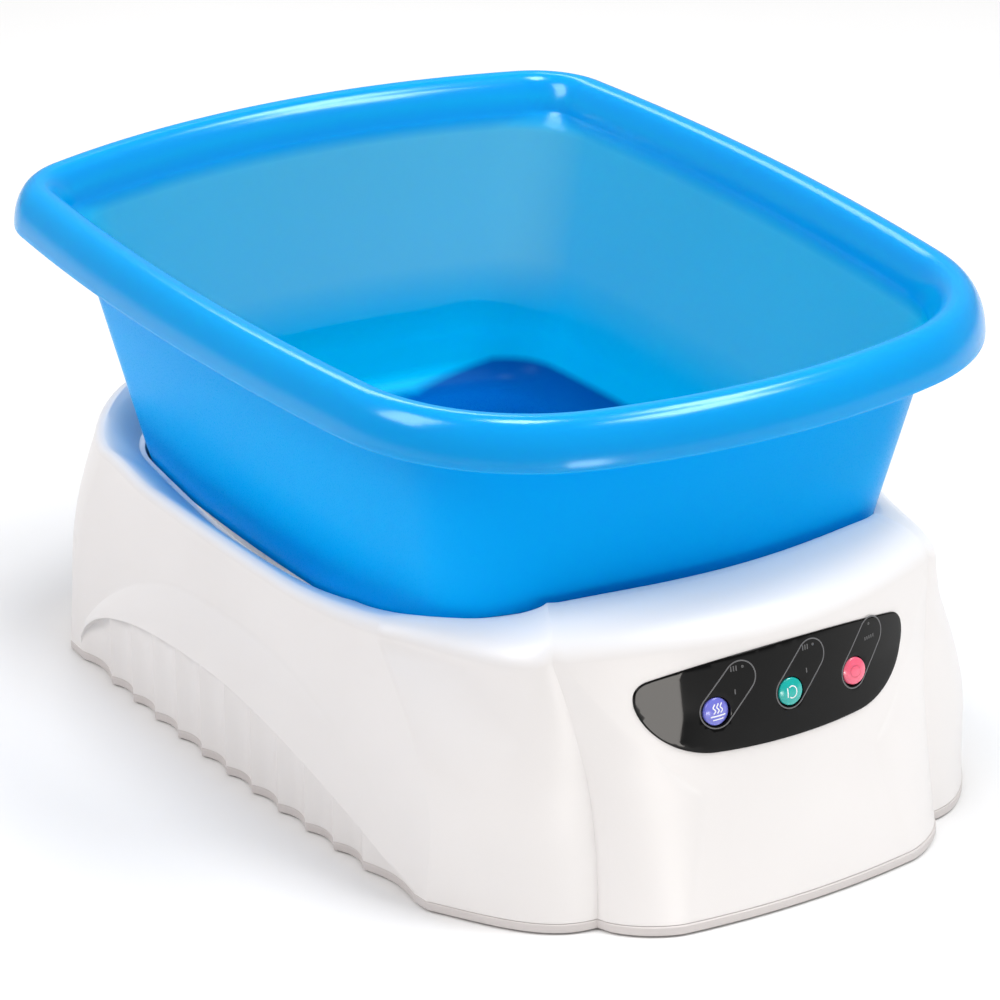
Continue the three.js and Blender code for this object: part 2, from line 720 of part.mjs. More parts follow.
const SWITCH_TIP = 2.8;
for (const [name, x, paint] of BUTTONS) {
  const [u, v, w] = boardPoint(panelPoint(x, buttonZ(x), 0.9));
  const foot = SWITCH_TIP + BUTTON_TRAVEL + 0.1;
  const cap = boardPost(u, v, w - 4.2, w, BUTTON_R, 32);
  node(name, cap.add(boardPost(u, v, foot, w - 4, 2)), paint);
  const key = boardBox(u, v, 0.1, 2.2, 3, 3).add(boardPost(u, v, 2, SWITCH_TIP, 1.6));
  node("switch_" + name.slice(7), key, "black");
}

const LAMPS = [
  ["lamp_wave_high", -BUTTON_X + 12, 14],
  ["lamp_wave_low", -BUTTON_X + 12, 6],
  ["lamp_bubble_high", 12, 14],
  ["lamp_bubble_low", 12, 6],
  ["lamp_power", BUTTON_X + 11, 14],
];
for (const [name, x, up] of LAMPS) {
  const [u, v, w] = boardPoint(panelPoint(x, BUTTON_Z + up, -PANEL_THICK - 1));
  node(name, boardPost(u, v, 0.1, w, 1.5, 12), "lamp");
}

// heated plate in the well floor, its element and its thermal cut-out
const heatShape = roundedRect(-67.6, -97.6, 67.6, 97.6, 1);
const heat = plate(heatShape, 1.5, 3);
heat.translate(0, 0, WELL_FLOOR - 1.2);
node("heat_plate", solid(heat), "alloy");
const loop = [];
for (let i = 0; i <= 24; i++) {
  const a = lerp(-0.44, 1.44, i / 24) * Math.PI;
  loop.push([44 * Math.cos(a) * (1 - 0.12 * Math.cos(4 * a)), 70 * Math.sin(a), 86.4]);
}
const loopPath = new THREE.CatmullRomCurve3(loop.map((p) => new THREE.Vector3(...p)));
const loopShape = new THREE.Shape();
loopShape.absarc(0, 0, 3, 0, 2 * Math.PI);
const loopGeometry = new THREE.ExtrudeGeometry(loopShape, {
  steps: 48,
  curveSegments: 4,
  extrudePath: loopPath,
});
node("heating_element", solid(loopGeometry), "steel");
node("thermal_cutout", post(0, 0, 82, 88.6, 8, 8, 24).add(post(0, 0, 88.4, 90, 11, 11, 24)), "black");

// two vibration motors with eccentric weights, hung under the well floor
for (const [label, y] of [
  ["front", -128],
  ["rear", 128],
]) {
  const z = 66;
  const body = rod([-17, y, z], [17, y, z], 13, 32).add(rod([-20, y, z], [-16, y, z], 5, 20));
  node("motor_" + label, body, "steel");
  const saddle = box(-14, y - 16, 58, 14, y + 16, WELL_FLOOR - SHELL - 0.3);
  const feet = box(-8, y - 24, 84.5, 8, y + 24, WELL_FLOOR - SHELL - 0.3);
  const seat = rod([-20, y, z], [20, y, z], 13.3, 32);
  node("motor_bracket_" + label, saddle.add(feet).subtract(seat), "black");
  const missing = box(20, y - 12, z + 2.2, 33, y + 12, z + 14);
  const weight = rod([22, y, z], [31, y, z], 10.5, 28).subtract(missing);
  node("motor_weight_" + label, weight.add(rod([17.3, y, z], [33, y, z], 2.2, 16)), "steel");
}

// power board, transformer, inlet and wiring
node("power_board", box(-78, -70, 8, 8, 10, 9.6), "board");
let core = box(26, -40, 5.3, 74, -2, 40);
core = core.subtract(box(34, -44, 12, 42, 2, 33));
core = core.subtract(box(58, -44, 12, 66, 2, 33));
node("transformer", core.add(box(30, -46, 13, 70, 4, 32)), "copper");

// Rod along Y through the inlet, moved sideways from its middle.
function inletRod(side, y0, y1, r, n) {
  return rod([INLET.x + side, y0, INLET.z], [INLET.x + side, y1, INLET.z], r, n);
}

const pins = inletRod(-4.3, 210, 221, 1.2, 10).add(inletRod(4.3, 210, 221, 1.2, 10));
const SOCKET_R = 4.6;
const mouth = inletRod(-SOCKET_R, 212, 240, SOCKET_R, 24)
  .add(inletRod(SOCKET_R, 212, 240, SOCKET_R, 24))
  .add(box(INLET.x - SOCKET_R, 212, INLET.z - SOCKET_R, INLET.x + SOCKET_R, 240, INLET.z + SOCKET_R));
const { x: ix, z: iz, w: iw, h: ih } = INLET;
const shellBox = box(ix - iw, 204, iz - ih, ix + iw, 226, iz + ih);
node("power_inlet", shellBox.subtract(mouth).add(pins), "black");

const SUPPLY_PATH = [
  [60, 201.6, 34],
  [56, 188, 31],
  [-30, 120, 16],
  [-52, 60, 12],
  [-50, 11, 12],
];
const CONTROL_PATH = [
  [-40, -70.6, 11],
  [-44, -110, 24],
  [-30, -188, 50],
  [-22, -216, 78],
  [-20, -238, 98],
];
const MOTOR_PATH = [
  [-20, -70.6, 11],
  [-40, -100, 30],
  [-36, -122, 56],
  [-21.4, -128, 66],
];
const HEATER_PATH = [
  [-10, -60, 12],
  [-14, -30, 40],
  [-8, -10, 64],
  [-3, -4, 80.4],
];
node("wire_supply", wire(SUPPLY_PATH, 2.2), "black");
node("wire_control", wire(CONTROL_PATH, 1.8), "wire_blue");
node("wire_motor", wire(MOTOR_PATH, 1.5), "wire_red");
node("wire_heater", wire(HEATER_PATH, 1.5), "wire_red");

export default root;
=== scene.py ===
"""Foot spa basin: the fine visual model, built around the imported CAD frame."""
import json
import math

import bmesh
import bpy
import numpy as np
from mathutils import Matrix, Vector
from mathutils.geometry import delaunay_2d_cdt


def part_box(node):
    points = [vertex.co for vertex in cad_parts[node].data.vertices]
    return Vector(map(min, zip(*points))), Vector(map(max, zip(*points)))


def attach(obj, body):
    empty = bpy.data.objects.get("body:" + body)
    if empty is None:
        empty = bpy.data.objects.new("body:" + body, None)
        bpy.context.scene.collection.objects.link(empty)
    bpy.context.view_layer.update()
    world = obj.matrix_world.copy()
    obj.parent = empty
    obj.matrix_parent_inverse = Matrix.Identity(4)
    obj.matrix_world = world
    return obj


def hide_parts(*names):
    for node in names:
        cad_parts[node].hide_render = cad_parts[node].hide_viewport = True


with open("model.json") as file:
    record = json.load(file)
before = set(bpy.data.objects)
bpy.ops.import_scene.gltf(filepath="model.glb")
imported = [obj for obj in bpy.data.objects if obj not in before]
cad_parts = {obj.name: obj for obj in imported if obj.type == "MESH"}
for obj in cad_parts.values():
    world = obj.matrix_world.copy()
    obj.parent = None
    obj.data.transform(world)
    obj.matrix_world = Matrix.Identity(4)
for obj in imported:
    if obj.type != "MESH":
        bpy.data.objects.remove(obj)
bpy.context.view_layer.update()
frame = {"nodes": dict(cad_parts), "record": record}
MM = 0.001

# ---- driving dimensions in millimetres, in the design frame: rim centre, tray underside
RIM_OUT = 13.9  # roll beyond the rim's crest line
RIM_TOP = 263.0
TUB_LOW, TUB_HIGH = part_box("tub")
SHIFT = (0.0, (TUB_LOW.y + TUB_HIGH.y) / 2 / MM, TUB_HIGH.z / MM - RIM_TOP)
RIM_A = (TUB_HIGH.x - TUB_LOW.x) / 2 / MM - RIM_OUT
RIM_B = (TUB_HIGH.y - TUB_LOW.y) / 2 / MM - RIM_OUT
RIM_WIDEST = 43.0  # where the sides bow out most
SIDE_R, FRONT_R, REAR_R = 1518.0, 372.0, 426.0  # plan radii of the rim
FRONT_CORNER, REAR_CORNER = 101.0, 42.0
WALL_FRONT_R, WALL_REAR_R = 82.0, 60.7  # corner radii of the wall if it reached the rim's crest line
RIM_LIP = 238.9
TUB_WALL = 2.6
WALL_IN = 14.5
WALL_TAPER = 0.2411
TUB_FLOOR = 95.0
TUB_UNDER = 92.4
FLOOR_BEND, UNDER_BEND = 14.0, 12.0  # radii of the bend from wall to floor, inside and outside
NODULE_R = 6.2
WELL_GAP = 1.5
WELL_FLOOR = 91.6
SHELL, SIDE_SHELL = 3.0, 7.5
# heights in metres where the tub's looks change: floor to wall (the top of the painted shade), clear wall,
# thick rim (painted shade and gloss)
TUB_BASIN, TUB_HAZE, TUB_RIM = (0.0965, 0.1015), (0.125, 0.165), (0.236, 0.244)
# painted shade: the dark colour of the floor and the foot of the walls reaches higher towards the right
TUB_RIGHT, TUB_RIGHT_UP = (0.055, 0.105), 0.010  # the floor's colour climbs this much at the right
SEAM = 5.0
SIDE_X = 178.0
FLUTE_PITCH = 25.0
FLUTE_DEEP = 4.0
FIRST_RIDGE = 114.0
LAST_RIDGE = FIRST_RIDGE - 10 * FLUTE_PITCH
SIDE_FRONT, SIDE_REAR = -188.0, 166.0  # where the side meets the corners
REAR_X = 108.0  # where the rear wall meets the corner
CORNER_LEAN = 0.03  # extra inward lean of the front corners
EDGE_LOW = 100.5  # height of the well's edge where it is lowest, beside the tub
EDGE_LOW_AT = 10.0  # plan direction of that place in degrees, 90 at the rear
EDGE_SAG = 12.0  # rise of the sagging stretch before the edge climbs to the front
EDGE_FRONT, EDGE_REAR = 150.0, 121.0
REAR_SHARE = 0.4  # how much of the front crease's sweep the rear crease has
FRONT_Y, FRONT_LEAN, PANEL_R = -280.0, 0.19, 200.0
BUTTON_X, BUTTON_Z, BUTTON_R = 41.0, 105.0, 7.0
INLET = (60.0, 34.0, 15.4, 10.4)  # x, z, half width, half height of the opening


def lerp(a, b, t):
    return a + (b - a) * t


def clamp(v, a=0.0, b=1.0):
    return min(b, max(a, v))


def smooth(t):
    c = clamp(t)
    return c * c * (3 - 2 * c)


def spread(a, b, n, last=False):
    """n values from a towards b, with b itself only when last is set."""
    return [lerp(a, b, i / (n - 1 if last else n)) for i in range(n)]


def cos_sin(start, end, n, last=False):
    """Cosine and sine of the spread angles, in degrees."""
    return [(math.cos(a), math.sin(a)) for a in map(math.radians, spread(start, end, n, last))]


# ---- mesh helpers
def new_object(name, data):
    made = bpy.data.objects.new(name, data)
    bpy.context.scene.collection.objects.link(made)
    return made


def add_piece(name, made, body, material, crease):
    """Mesh object from a Mesher's points in millimetres in the design frame; it rides on a body."""
    mesh = bpy.data.meshes.new(name)
    placed = [tuple((p[k] + SHIFT[k]) * MM for k in range(3)) for p in made.verts]
    mesh.from_pydata(placed, [], made.faces)
    mesh.validate()
    fix = bmesh.new()
    fix.from_mesh(mesh)
    bmesh.ops.remove_doubles(fix, verts=fix.verts, dist=1e-7)
    bmesh.ops.recalc_face_normals(fix, faces=fix.faces)
    fix.to_mesh(mesh)
    fix.free()
    mesh.shade_smooth()
    mesh.set_sharp_from_angle(angle=math.radians(crease))
    mesh.materials.append(material)
    piece = new_object(name, mesh)
    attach(piece, body)
    return piece


class Mesher:
    """Collects points and faces of one piece."""

    def __init__(self):
        self.verts = []
        self.faces = []

    def ring(self, points):
        start = len(self.verts)
        self.verts.extend(points)
        return list(range(start, start + len(points)))

    def bridge(self, a, b):
        n = len(a)
        for i in range(n):
            j = (i + 1) % n
            self.faces.append((a[i], a[j], b[j], b[i]))

    def loft(self, rings):
        for a, b in zip(rings, rings[1:]):
            self.bridge(a, b)

    def ends(self, rings):
        """Closes a loft with one flat face at each end."""
        self.faces.append(tuple(rings[0]))
        self.faces.append(tuple(reversed(rings[-1])))

    def fan(self, ring, centre):
        c = len(self.verts)
        self.verts.append(centre)
        self.faces += [(a, b, c) for a, b in zip(ring, ring[1:] + ring[:1])]

    def lathe(self, profile, centre, axis, steps):
        """Closed body of revolution; profile is (radius, height) along the axis, ends on the axis."""
        z = Vector(axis).normalized()
        x = z.orthogonal().normalized()
        y = z.cross(x)
        c = Vector(centre)
        spokes = [x * math.cos(a) + y * math.sin(a) for a in spread(0, 2 * math.pi, steps)]
        rings = [self.ring([tuple(c + z * h + spoke * r) for spoke in spokes]) for r, h in profile[1:-1]]
        self.loft(rings)
        self.fan(rings[0], tuple(c + z * profile[0][1]))
        self.fan(rings[-1], tuple(c + z * profile[-1][1]))


def catmull(points, per):
    """Points on a smooth curve through the given points, per steps to each span."""
    pts = [np.array(p, float) for p in points]
    pts = [2 * pts[0] - pts[1], *pts, 2 * pts[-1] - pts[-2]]
    out = []
    for a, b, c, d in zip(pts, pts[1:], pts[2:], pts[3:]):
        square, cube = 2 * a - 5 * b + 4 * c - d, 3 * b - 3 * c + d - a
        out += [0.5 * (2 * b + (c - a) * t + square * t**2 + cube * t**3) for t in spread(0, 1, per)]
    return [*out, pts[-2]]


def circle(x, y, r, count=32, squeeze=1.0):
    turns = spread(0, 2 * math.pi, count)
    return [(x + r * math.cos(a), y + r * squeeze * math.sin(a)) for a in turns]


def closed_lines(loops):
    """Index pairs of the edges of several closed loops whose points follow one another."""
    lines = []
    start = 0
    for loop in loops:
        count = len(loop)
        lines += [(start + i, start + (i + 1) % count) for i in range(count)]
        start += count
    return lines


def flat_cells(loops, extra=()):
    """Triangles inside the first loop and outside the others, as indices into loops + extra."""
    points = [Vector(p) for loop in loops for p in loop] + [Vector(p) for p in extra]
    flat, _, triangles, source, _, _ = delaunay_2d_cdt(points, closed_lines(loops), [], 1, 1e-6)
    discs = []
    for loop in loops[1:]:
        centre = sum((Vector(p) for p in loop), Vector((0, 0))) / len(loop)
        discs.append((centre, (Vector(loop[0]) - centre).length * 0.97))
    kept = []
    for t in triangles:
        middle = sum((flat[i] for i in t), Vector((0, 0))) / 3
        if all((middle - centre).length > r for centre, r in discs):
            kept.append(tuple(min(source[i]) for i in t))
    return kept


# ---- materials
class Nodes:
    """Short way to write a node tree."""

    def __init__(self, name):
        self.material = bpy.data.materials.new(name)
        self.material.use_nodes = True
        self.tree = self.material.node_tree
        self.tree.nodes.clear()
        found = self.add("ShaderNodeTexCoord").outputs
        self.coords, self.normal = found["Object"], found["Normal"]

    def add(self, kind, sockets=None, **settings):
        """New node; each socket named gets a plain value or a link from another node's output."""
        n = self.tree.nodes.new(kind)
        for key, value in settings.items():
            setattr(n, key, value)
        for key, value in (sockets or {}).items():
            if isinstance(value, bpy.types.NodeSocket):
                self.tree.links.new(value, n.inputs[key])
            else:
                n.inputs[key].default_value = value
        return n

    def noise(self, scale, detail=3.0, rough=0.5, stretch=None):
        place = self.coords
        if stretch:
            place = self.add("ShaderNodeMapping", {"Vector": place, "Scale": stretch}).outputs["Vector"]
        sockets = {"Vector": place, "Scale": scale, "Detail": detail, "Roughness": rough}
        return self.add("ShaderNodeTexNoise", sockets).outputs["Fac"]

    def ramp(self, value, *stops):
        """Colour ramp between two stops, each (position, colour)."""
        n = self.add("ShaderNodeValToRGB", {"Fac": value})
        for slot, (at, colour) in zip(n.color_ramp.elements, stops):
            slot.position = at
            slot.color = (*colour, 1)
        return n.outputs["Color"]

    def drift(self, value, low, high):
        """Colour that wanders between two near shades."""
        return self.ramp(value, (0.3, low), (0.7, high))

    def span(self, value, low, high, source=(0, 1)):
        """Maps the source range to low..high and holds it outside."""
        start, end = source
        sockets = {"Value": value, "From Min": start, "From Max": end, "To Min": low, "To Max": high}
        return self.add("ShaderNodeMapRange", sockets).outputs["Result"]

    def bump(self, height, distance):
        sockets = {"Height": height, "Strength": 1.0, "Distance": distance}
        return self.add("ShaderNodeBump", sockets).outputs["Normal"]

    def maths(self, operation, a, b):
        return self.add("ShaderNodeMath", {0: a, 1: b}, operation=operation).outputs["Value"]

    def vector(self, operation, a, b, output):
        return self.add("ShaderNodeVectorMath", {0: a, 1: b}, operation=operation).outputs[output]

    def blend(self, factor, low, high):
        return self.add("ShaderNodeMix", {0: factor, 6: low, 7: high}, data_type="RGBA").outputs[2]

    def mix(self, factor, low, high):
        return self.add("ShaderNodeMixShader", {0: factor, 1: low, 2: high}).outputs["Shader"]

    def axes(self, vector):
        return self.add("ShaderNodeSeparateXYZ", {"Vector": vector}).outputs

    def principled(self, **values):
        sockets = {key.replace("_", " "): value for key, value in values.items()}
        return self.add("ShaderNodeBsdfPrincipled", sockets).outputs["BSDF"]

    def finish(self, shader):
        self.add("ShaderNodeOutputMaterial", {"Surface": shader})
        return self.material

    def surface(self, **values):
        """The finished material with one principled shader."""
        return self.finish(self.principled(**values))


def moulded(name, low, high, rough, grain, depth, coat=0.0, top=None):
    """Moulded plastic: colour drift, satin grain, eggshell texture, and a whiter colour painted on faces
    looking up, as painted light from above.
    """
    m = Nodes(name)
    cloud = m.noise(9.0, 2.0)
    fine = m.noise(grain, 4.0, 0.6)
    colour = m.ramp(cloud, (0.35, low), (0.65, high))
    if top:
        # painted light: faces looking up blend to the whiter top colour, standing in for light from above
        painted_top_light_share = m.span(m.axes(m.normal)["Z"], 0, 1, (0.25, 0.75))
        colour = m.blend(painted_top_light_share, colour, (*top, 1))
    roughness = m.span(fine, rough * 0.88, rough * 1.14)
    return m.surface(Base_Color=colour, Roughness=roughness, Normal=m.bump(fine, depth), Coat_Weight=coat)


def metal(name, low, high, rough, stretch):
    """Brushed metal: the grain runs along one axis."""
    m = Nodes(name)
    grain = m.noise(900.0, 3.0, 0.7, stretch)
    return m.surface(
        Base_Color=m.drift(m.noise(40.0, 3.0), low, high),
        Metallic=1.0,
        Roughness=m.span(grain, rough * 0.7, rough * 1.3),
        Normal=m.bump(grain, 0.00002),
    )


def tub_plastic():
    """Translucent blue: matt saturated walls with painted light on the inner faces and painted shade on the
    floor and foot of the walls, haze where the inner wall lets light through, glossy rim with painted
    shade.
    """
    m = Nodes("tub_blue")
    cloud = m.noise(6.0, 2.0)
    fine = m.noise(1400.0, 3.0, 0.6)
    where = m.axes(m.coords)
    # painted shade: mask where the dark basin colour gives way to the wall colour
    climb = m.span(where["X"], 0, TUB_RIGHT_UP, TUB_RIGHT)
    above_painted_shade = m.span(m.maths("SUBTRACT", where["Z"], climb), 0, 1, TUB_BASIN)
    level = m.vector("MULTIPLY", m.coords, (1, 1, 0), "Vector")
    facing_out = m.vector("DOT_PRODUCT", level, m.normal, "Value")
    inner = m.span(facing_out, 1, 0, (-0.06, 0.0))
    outer_blue = m.drift(cloud, (0.0, 0.365, 0.850), (0.0, 0.385, 0.880))
    # painted light: inner faces get a lighter, greener blue than the outer ones, standing in for the light
    # inside the tub
    inner_painted_light_blue = m.drift(cloud, (0.0, 0.470, 0.790), (0.0, 0.500, 0.830))
    # painted shade: dark blue for the floor and the foot of the walls, standing in for shade inside the
    # base's well
    basin_painted_shade_blue = m.drift(cloud, (0.0, 0.080, 0.330), (0.0, 0.090, 0.350))
    # painted shade: the rim gets a darker blue than the walls, so its up-facing top does not look lit
    rim_painted_shade_blue = m.drift(cloud, (0.0, 0.300, 0.680), (0.0, 0.320, 0.710))
    deep = {
        "Normal": m.bump(fine, 0.000010),
        "Subsurface_Weight": 0.5,
        "Subsurface_Radius": (0.05, 0.6, 1.0),
        "Subsurface_Scale": 0.005,
    }
    wall = m.principled(
        Base_Color=m.blend(above_painted_shade, basin_painted_shade_blue, m.blend(inner, outer_blue, inner_painted_light_blue)),
        Roughness=m.span(fine, 0.24, 0.32),
        IOR=1.1,
        Specular_Tint=(0.55, 0.90, 1.0, 1),
        **deep,
    )
    rim = m.principled(
        Base_Color=rim_painted_shade_blue,
        Roughness=m.span(fine, 0.13, 0.20),
        IOR=1.5,
        Specular_Tint=(0.60, 0.90, 1.0, 1),
        **deep,
    )
    through = m.principled(
        Base_Color=(0.32, 0.78, 0.80, 1),
        Roughness=0.30,
        IOR=1.12,
        Transmission_Weight=1.0,
        Specular_IOR_Level=0.2,
    )
    grazing = m.add("ShaderNodeLayerWeight", {"Blend": 0.35}).outputs["Facing"]
    share = m.span(grazing, 0.46, 0.0, (0.0, 0.75))
    upper = m.span(where["Z"], 0.04, 1, TUB_HAZE)
    amount = m.maths("MULTIPLY", m.maths("MULTIPLY", share, upper), m.span(inner, 0.04, 1))
    return m.finish(m.mix(m.span(where["Z"], 0, 1, TUB_RIM), m.mix(amount, wall, through), rim))


def fascia_gloss():
    """Polished black panel with faint wipe marks."""
    m = Nodes("fascia_black")
    wipe = m.noise(30.0, 4.0, 0.6, (1.0, 1.0, 6.0))
    fine = m.noise(250.0, 2.0)
    return m.surface(
        Base_Color=m.drift(fine, (0.002, 0.002, 0.002), (0.003, 0.003, 0.003)),
        Roughness=m.span(wipe, 0.03, 0.06),
        Normal=m.bump(fine, 0.000001),
        Specular_IOR_Level=0.2,
    )


def circuit_board():
    """Green solder mask with copper tracks under it."""
    m = Nodes("board_green")
    mask = {"Color1": (0.012, 0.10, 0.035, 1), "Color2": (0.016, 0.13, 0.045, 1)}
    lines = {"Mortar": (0.05, 0.22, 0.07, 1), "Mortar Size": 0.03, "Scale": 90.0}
    brick = m.add("ShaderNodeTexBrick", {"Vector": m.coords, **mask, **lines})
    return m.surface(
        Base_Color=brick.outputs["Color"],
        Roughness=m.span(m.noise(300.0), 0.3, 0.5),
        Normal=m.bump(brick.outputs["Fac"], 0.00003),
    )


def copper_winding():
    m = Nodes("copper_winding")
    sockets = {"Vector": m.coords, "Scale": 900.0, "Distortion": 0.6}
    turns = m.add("ShaderNodeTexWave", sockets, bands_direction="Z").outputs["Fac"]
    colour = m.ramp(turns, (0.0, (0.16, 0.045, 0.015)), (1.0, (0.55, 0.22, 0.09)))
    return m.surface(Base_Color=colour, Metallic=0.6, Roughness=0.35, Normal=m.bump(turns, 0.0001))


def rubber(name, colour):
    m = Nodes(name)
    grit = m.noise(1200.0, 4.0, 0.7)
    lighter = tuple(c * 1.35 + 0.004 for c in colour)
    return m.surface(
        Base_Color=m.ramp(grit, (0.35, colour), (0.75, lighter)),
        Roughness=m.span(grit, 0.6, 0.85),
        Normal=m.bump(grit, 0.00006),
        Sheen_Weight=0.08,
    )


def button_plastic(name, colour):
    m = Nodes(name)
    fine = m.noise(1800.0, 2.0)
    return m.surface(
        Base_Color=m.drift(m.noise(60.0), colour, tuple(min(1, c * 1.06) for c in colour)),
        Roughness=m.span(fine, 0.20, 0.30),
        Normal=m.bump(fine, 0.00001),
        Coat_Weight=0.5,
        Coat_Roughness=0.08,
        Subsurface_Weight=0.15,
        Subsurface_Scale=0.002,
    )


SHELL_WHITES = (0.765, 0.742, 0.733), (0.790, 0.768, 0.760)
# painted light: the whiter colour of the housing's faces that look up
SHELL_PAINTED_TOP_LIGHT = (0.96, 0.95, 0.945)
LOOKS = {
    "tub": tub_plastic(),
    "housing": moulded("housing_white", *SHELL_WHITES, 0.36, 900, 0.00002, top=SHELL_PAINTED_TOP_LIGHT),
    "tray": moulded("tray_grey", (0.60, 0.565, 0.555), (0.64, 0.605, 0.595), 0.55, 700, 0.00004),
    "fascia": fascia_gloss(),
    "cap_violet": button_plastic("cap_violet", (0.16, 0.17, 0.62)),
    "cap_teal": button_plastic("cap_teal", (0.0, 0.40, 0.36)),
    "cap_pink": button_plastic("cap_pink", (0.86, 0.13, 0.22)),
    "board": circuit_board(),
    "black_plastic": moulded("black_moulding", (0.02, 0.02, 0.021), (0.03, 0.03, 0.032), 0.5, 800, 0.00004),
    "lamp": moulded("lamp_lens", (0.75, 0.70, 0.55), (0.85, 0.80, 0.66), 0.15, 300, 0.000004, coat=0.5),
    "steel": metal("plated_steel", (0.50, 0.51, 0.53), (0.64, 0.65, 0.67), 0.3, (1.0, 12.0, 12.0)),
    "alloy": metal("pressed_alloy", (0.60, 0.61, 0.63), (0.74, 0.75, 0.77), 0.4, (14.0, 1.0, 14.0)),
    "copper": copper_winding(),
    "rubber": rubber("foot_rubber", (0.018, 0.018, 0.019)),
    "wire_black": rubber("insulation_black", (0.012, 0.012, 0.012)),
    "wire_blue": rubber("insulation_blue", (0.02, 0.07, 0.30)),
    "wire_red": rubber("insulation_red", (0.32, 0.02, 0.012)),
}
MARK_WHITE = moulded("mark_white", (0.80, 0.80, 0.82), (0.88, 0.88, 0.90), 0.35, 700, 0.000006)
MARK_GREY = moulded("mark_grey", (0.10, 0.10, 0.105), (0.13, 0.13, 0.135), 0.4, 700, 0.000006)
MARK_DIM = moulded("mark_dim", (0.09, 0.09, 0.092), (0.12, 0.12, 0.122), 0.4, 700, 0.000006)
SIGN_PINK = moulded("sign_pink", (0.60, 0.08, 0.13), (0.66, 0.10, 0.16), 0.3, 700, 0.000006)


# ---- tub outline
def corner_centre(c1, r1, c2, r2, side, rc):
    """Centre of the arc of radius rc that lies inside both circles and touches them."""
    a, b = Vector(c1), Vector(c2)
    d = b - a
    length = d.length
    ra, rb = r1 - rc, r2 - rc
    x = (ra * ra - rb * rb + length * length) / (2 * length)
    h = math.sqrt(max(ra * ra - x * x, 0))
    e = d / length
    base = a + e * x
    one = Vector((base.x - e.y * h, base.y + e.x * h))
    two = Vector((base.x + e.y * h, base.y - e.x * h))
    return one if one.x + side * one.y > two.x + side * two.y else two


RING_STEPS = (18, 30, 34, 22, 18)  # points on the front, front corner, side, rear corner and rear


def tub_ring(grow, cf, cr, z):
    """Level ring round the tub, anticlockwise from the front; cf and cr are the corners' radii."""
    side = Vector((RIM_A - SIDE_R, RIM_WIDEST))
    front = Vector((0, -RIM_B + FRONT_R))
    rear = Vector((0, RIM_B - REAR_R))
    rs, rf, rr = SIDE_R + grow, FRONT_R + grow, REAR_R + grow
    near = corner_centre(side, rs, front, rf, -1, cf)
    far = corner_centre(side, rs, rear, rr, 1, cr)

    def angle(p, c):
        return math.atan2(p.y - c.y, p.x - c.x)

    spans = (
        (front, rf, -math.pi / 2, angle(near, front)),
        (near, cf, angle(near, front), angle(near, side)),
        (side, rs, angle(near, side), angle(far, side)),
        (far, cr, angle(far, side), angle(far, rear)),
        (rear, rr, angle(far, rear), math.pi / 2),
    )
    half = []
    for (c, r, t0, t1), n in zip(spans, RING_STEPS):
        half += [(c.x + r * math.cos(t), c.y + r * math.sin(t), z) for t in spread(t0, t1, n)]
    left = [(-x, y, h) for x, y, h in half[:0:-1]]
    return [*half, (0.0, RIM_B + grow, z), *left]


def wall_grow(z):
    return -WALL_IN - (RIM_LIP - z) * WALL_TAPER


def wall_ring(z, extra=0.0):
    g = wall_grow(z)
    return tub_ring(g + extra, WALL_FRONT_R + g * 0.5 + extra, WALL_REAR_R + g * 0.5 + extra, z)


def roll_ring(grow, z):
    return tub_ring(grow, FRONT_CORNER + grow, REAR_CORNER + grow, z)


def tub_floor_cells():
    """Centres of the massage nodules, one field under each foot, every other row moved outward."""
    places = [(34 + 21 * col + 6 * (row % 2), -100.0 + 40 * row) for row in range(6) for col in range(3)]
    return [(side * x, y) for side in (-1, 1) for x, y in places]


def make_tub():
    """Walls, rolled rim with its hooked underside, and the floor, as one closed skin."""
    m = Mesher()
    rings = [wall_ring(TUB_UNDER, -60), wall_ring(TUB_UNDER, -UNDER_BEND - 2.5)]
    for c, s in cos_sin(0, 90, 8):
        rings.append(wall_ring(TUB_UNDER + UNDER_BEND * (1 - c), -UNDER_BEND * (1 - s)))
    rings += [wall_ring(z) for z in (115, 140, 165, 190, 212, 226, 233, 237)]
    hook = [(-15.0, 239.8), (-13.6, 243), (-11.2, 252), (-5.5, 258.4)]
    hook += [(1.5, 260.1), (7.5, 256.6), (10.8, 249), (11.6, 240.2)]
    lip = [(11.75, 239.3), (12.2, RIM_LIP), (13.3, RIM_LIP), (13.75, 239.3)]
    rings += [roll_ring(g, z) for g, z in [*catmull(hook, 3), *lip]]
    for c, s in cos_sin(4, 90, 20):
        rings.append(roll_ring(RIM_OUT * c, RIM_LIP + (RIM_TOP - RIM_LIP) * s))
    inner = [(0.0, RIM_TOP), (-4.0, 262.1), (-8.2, 258.4), (-12.0, 251.5), (-14.9, 243)]
    rings += [roll_ring(g, z) for g, z in catmull(inner, 5)]
    rings += [wall_ring(z, -TUB_WALL) for z in (238, 234, 228, 212, 190, 165, 140, 118)]
    for c, s in cos_sin(0, 90, 10, last=True):
        rings.append(wall_ring(TUB_FLOOR + FLOOR_BEND * (1 - s), -TUB_WALL - FLOOR_BEND * (1 - c)))
    rings = [m.ring(points) for points in rings]
    m.loft(rings)
    m.fan(rings[0], (0, 0, TUB_UNDER))
    floor_with_nodules(m, rings[-1])
    return m


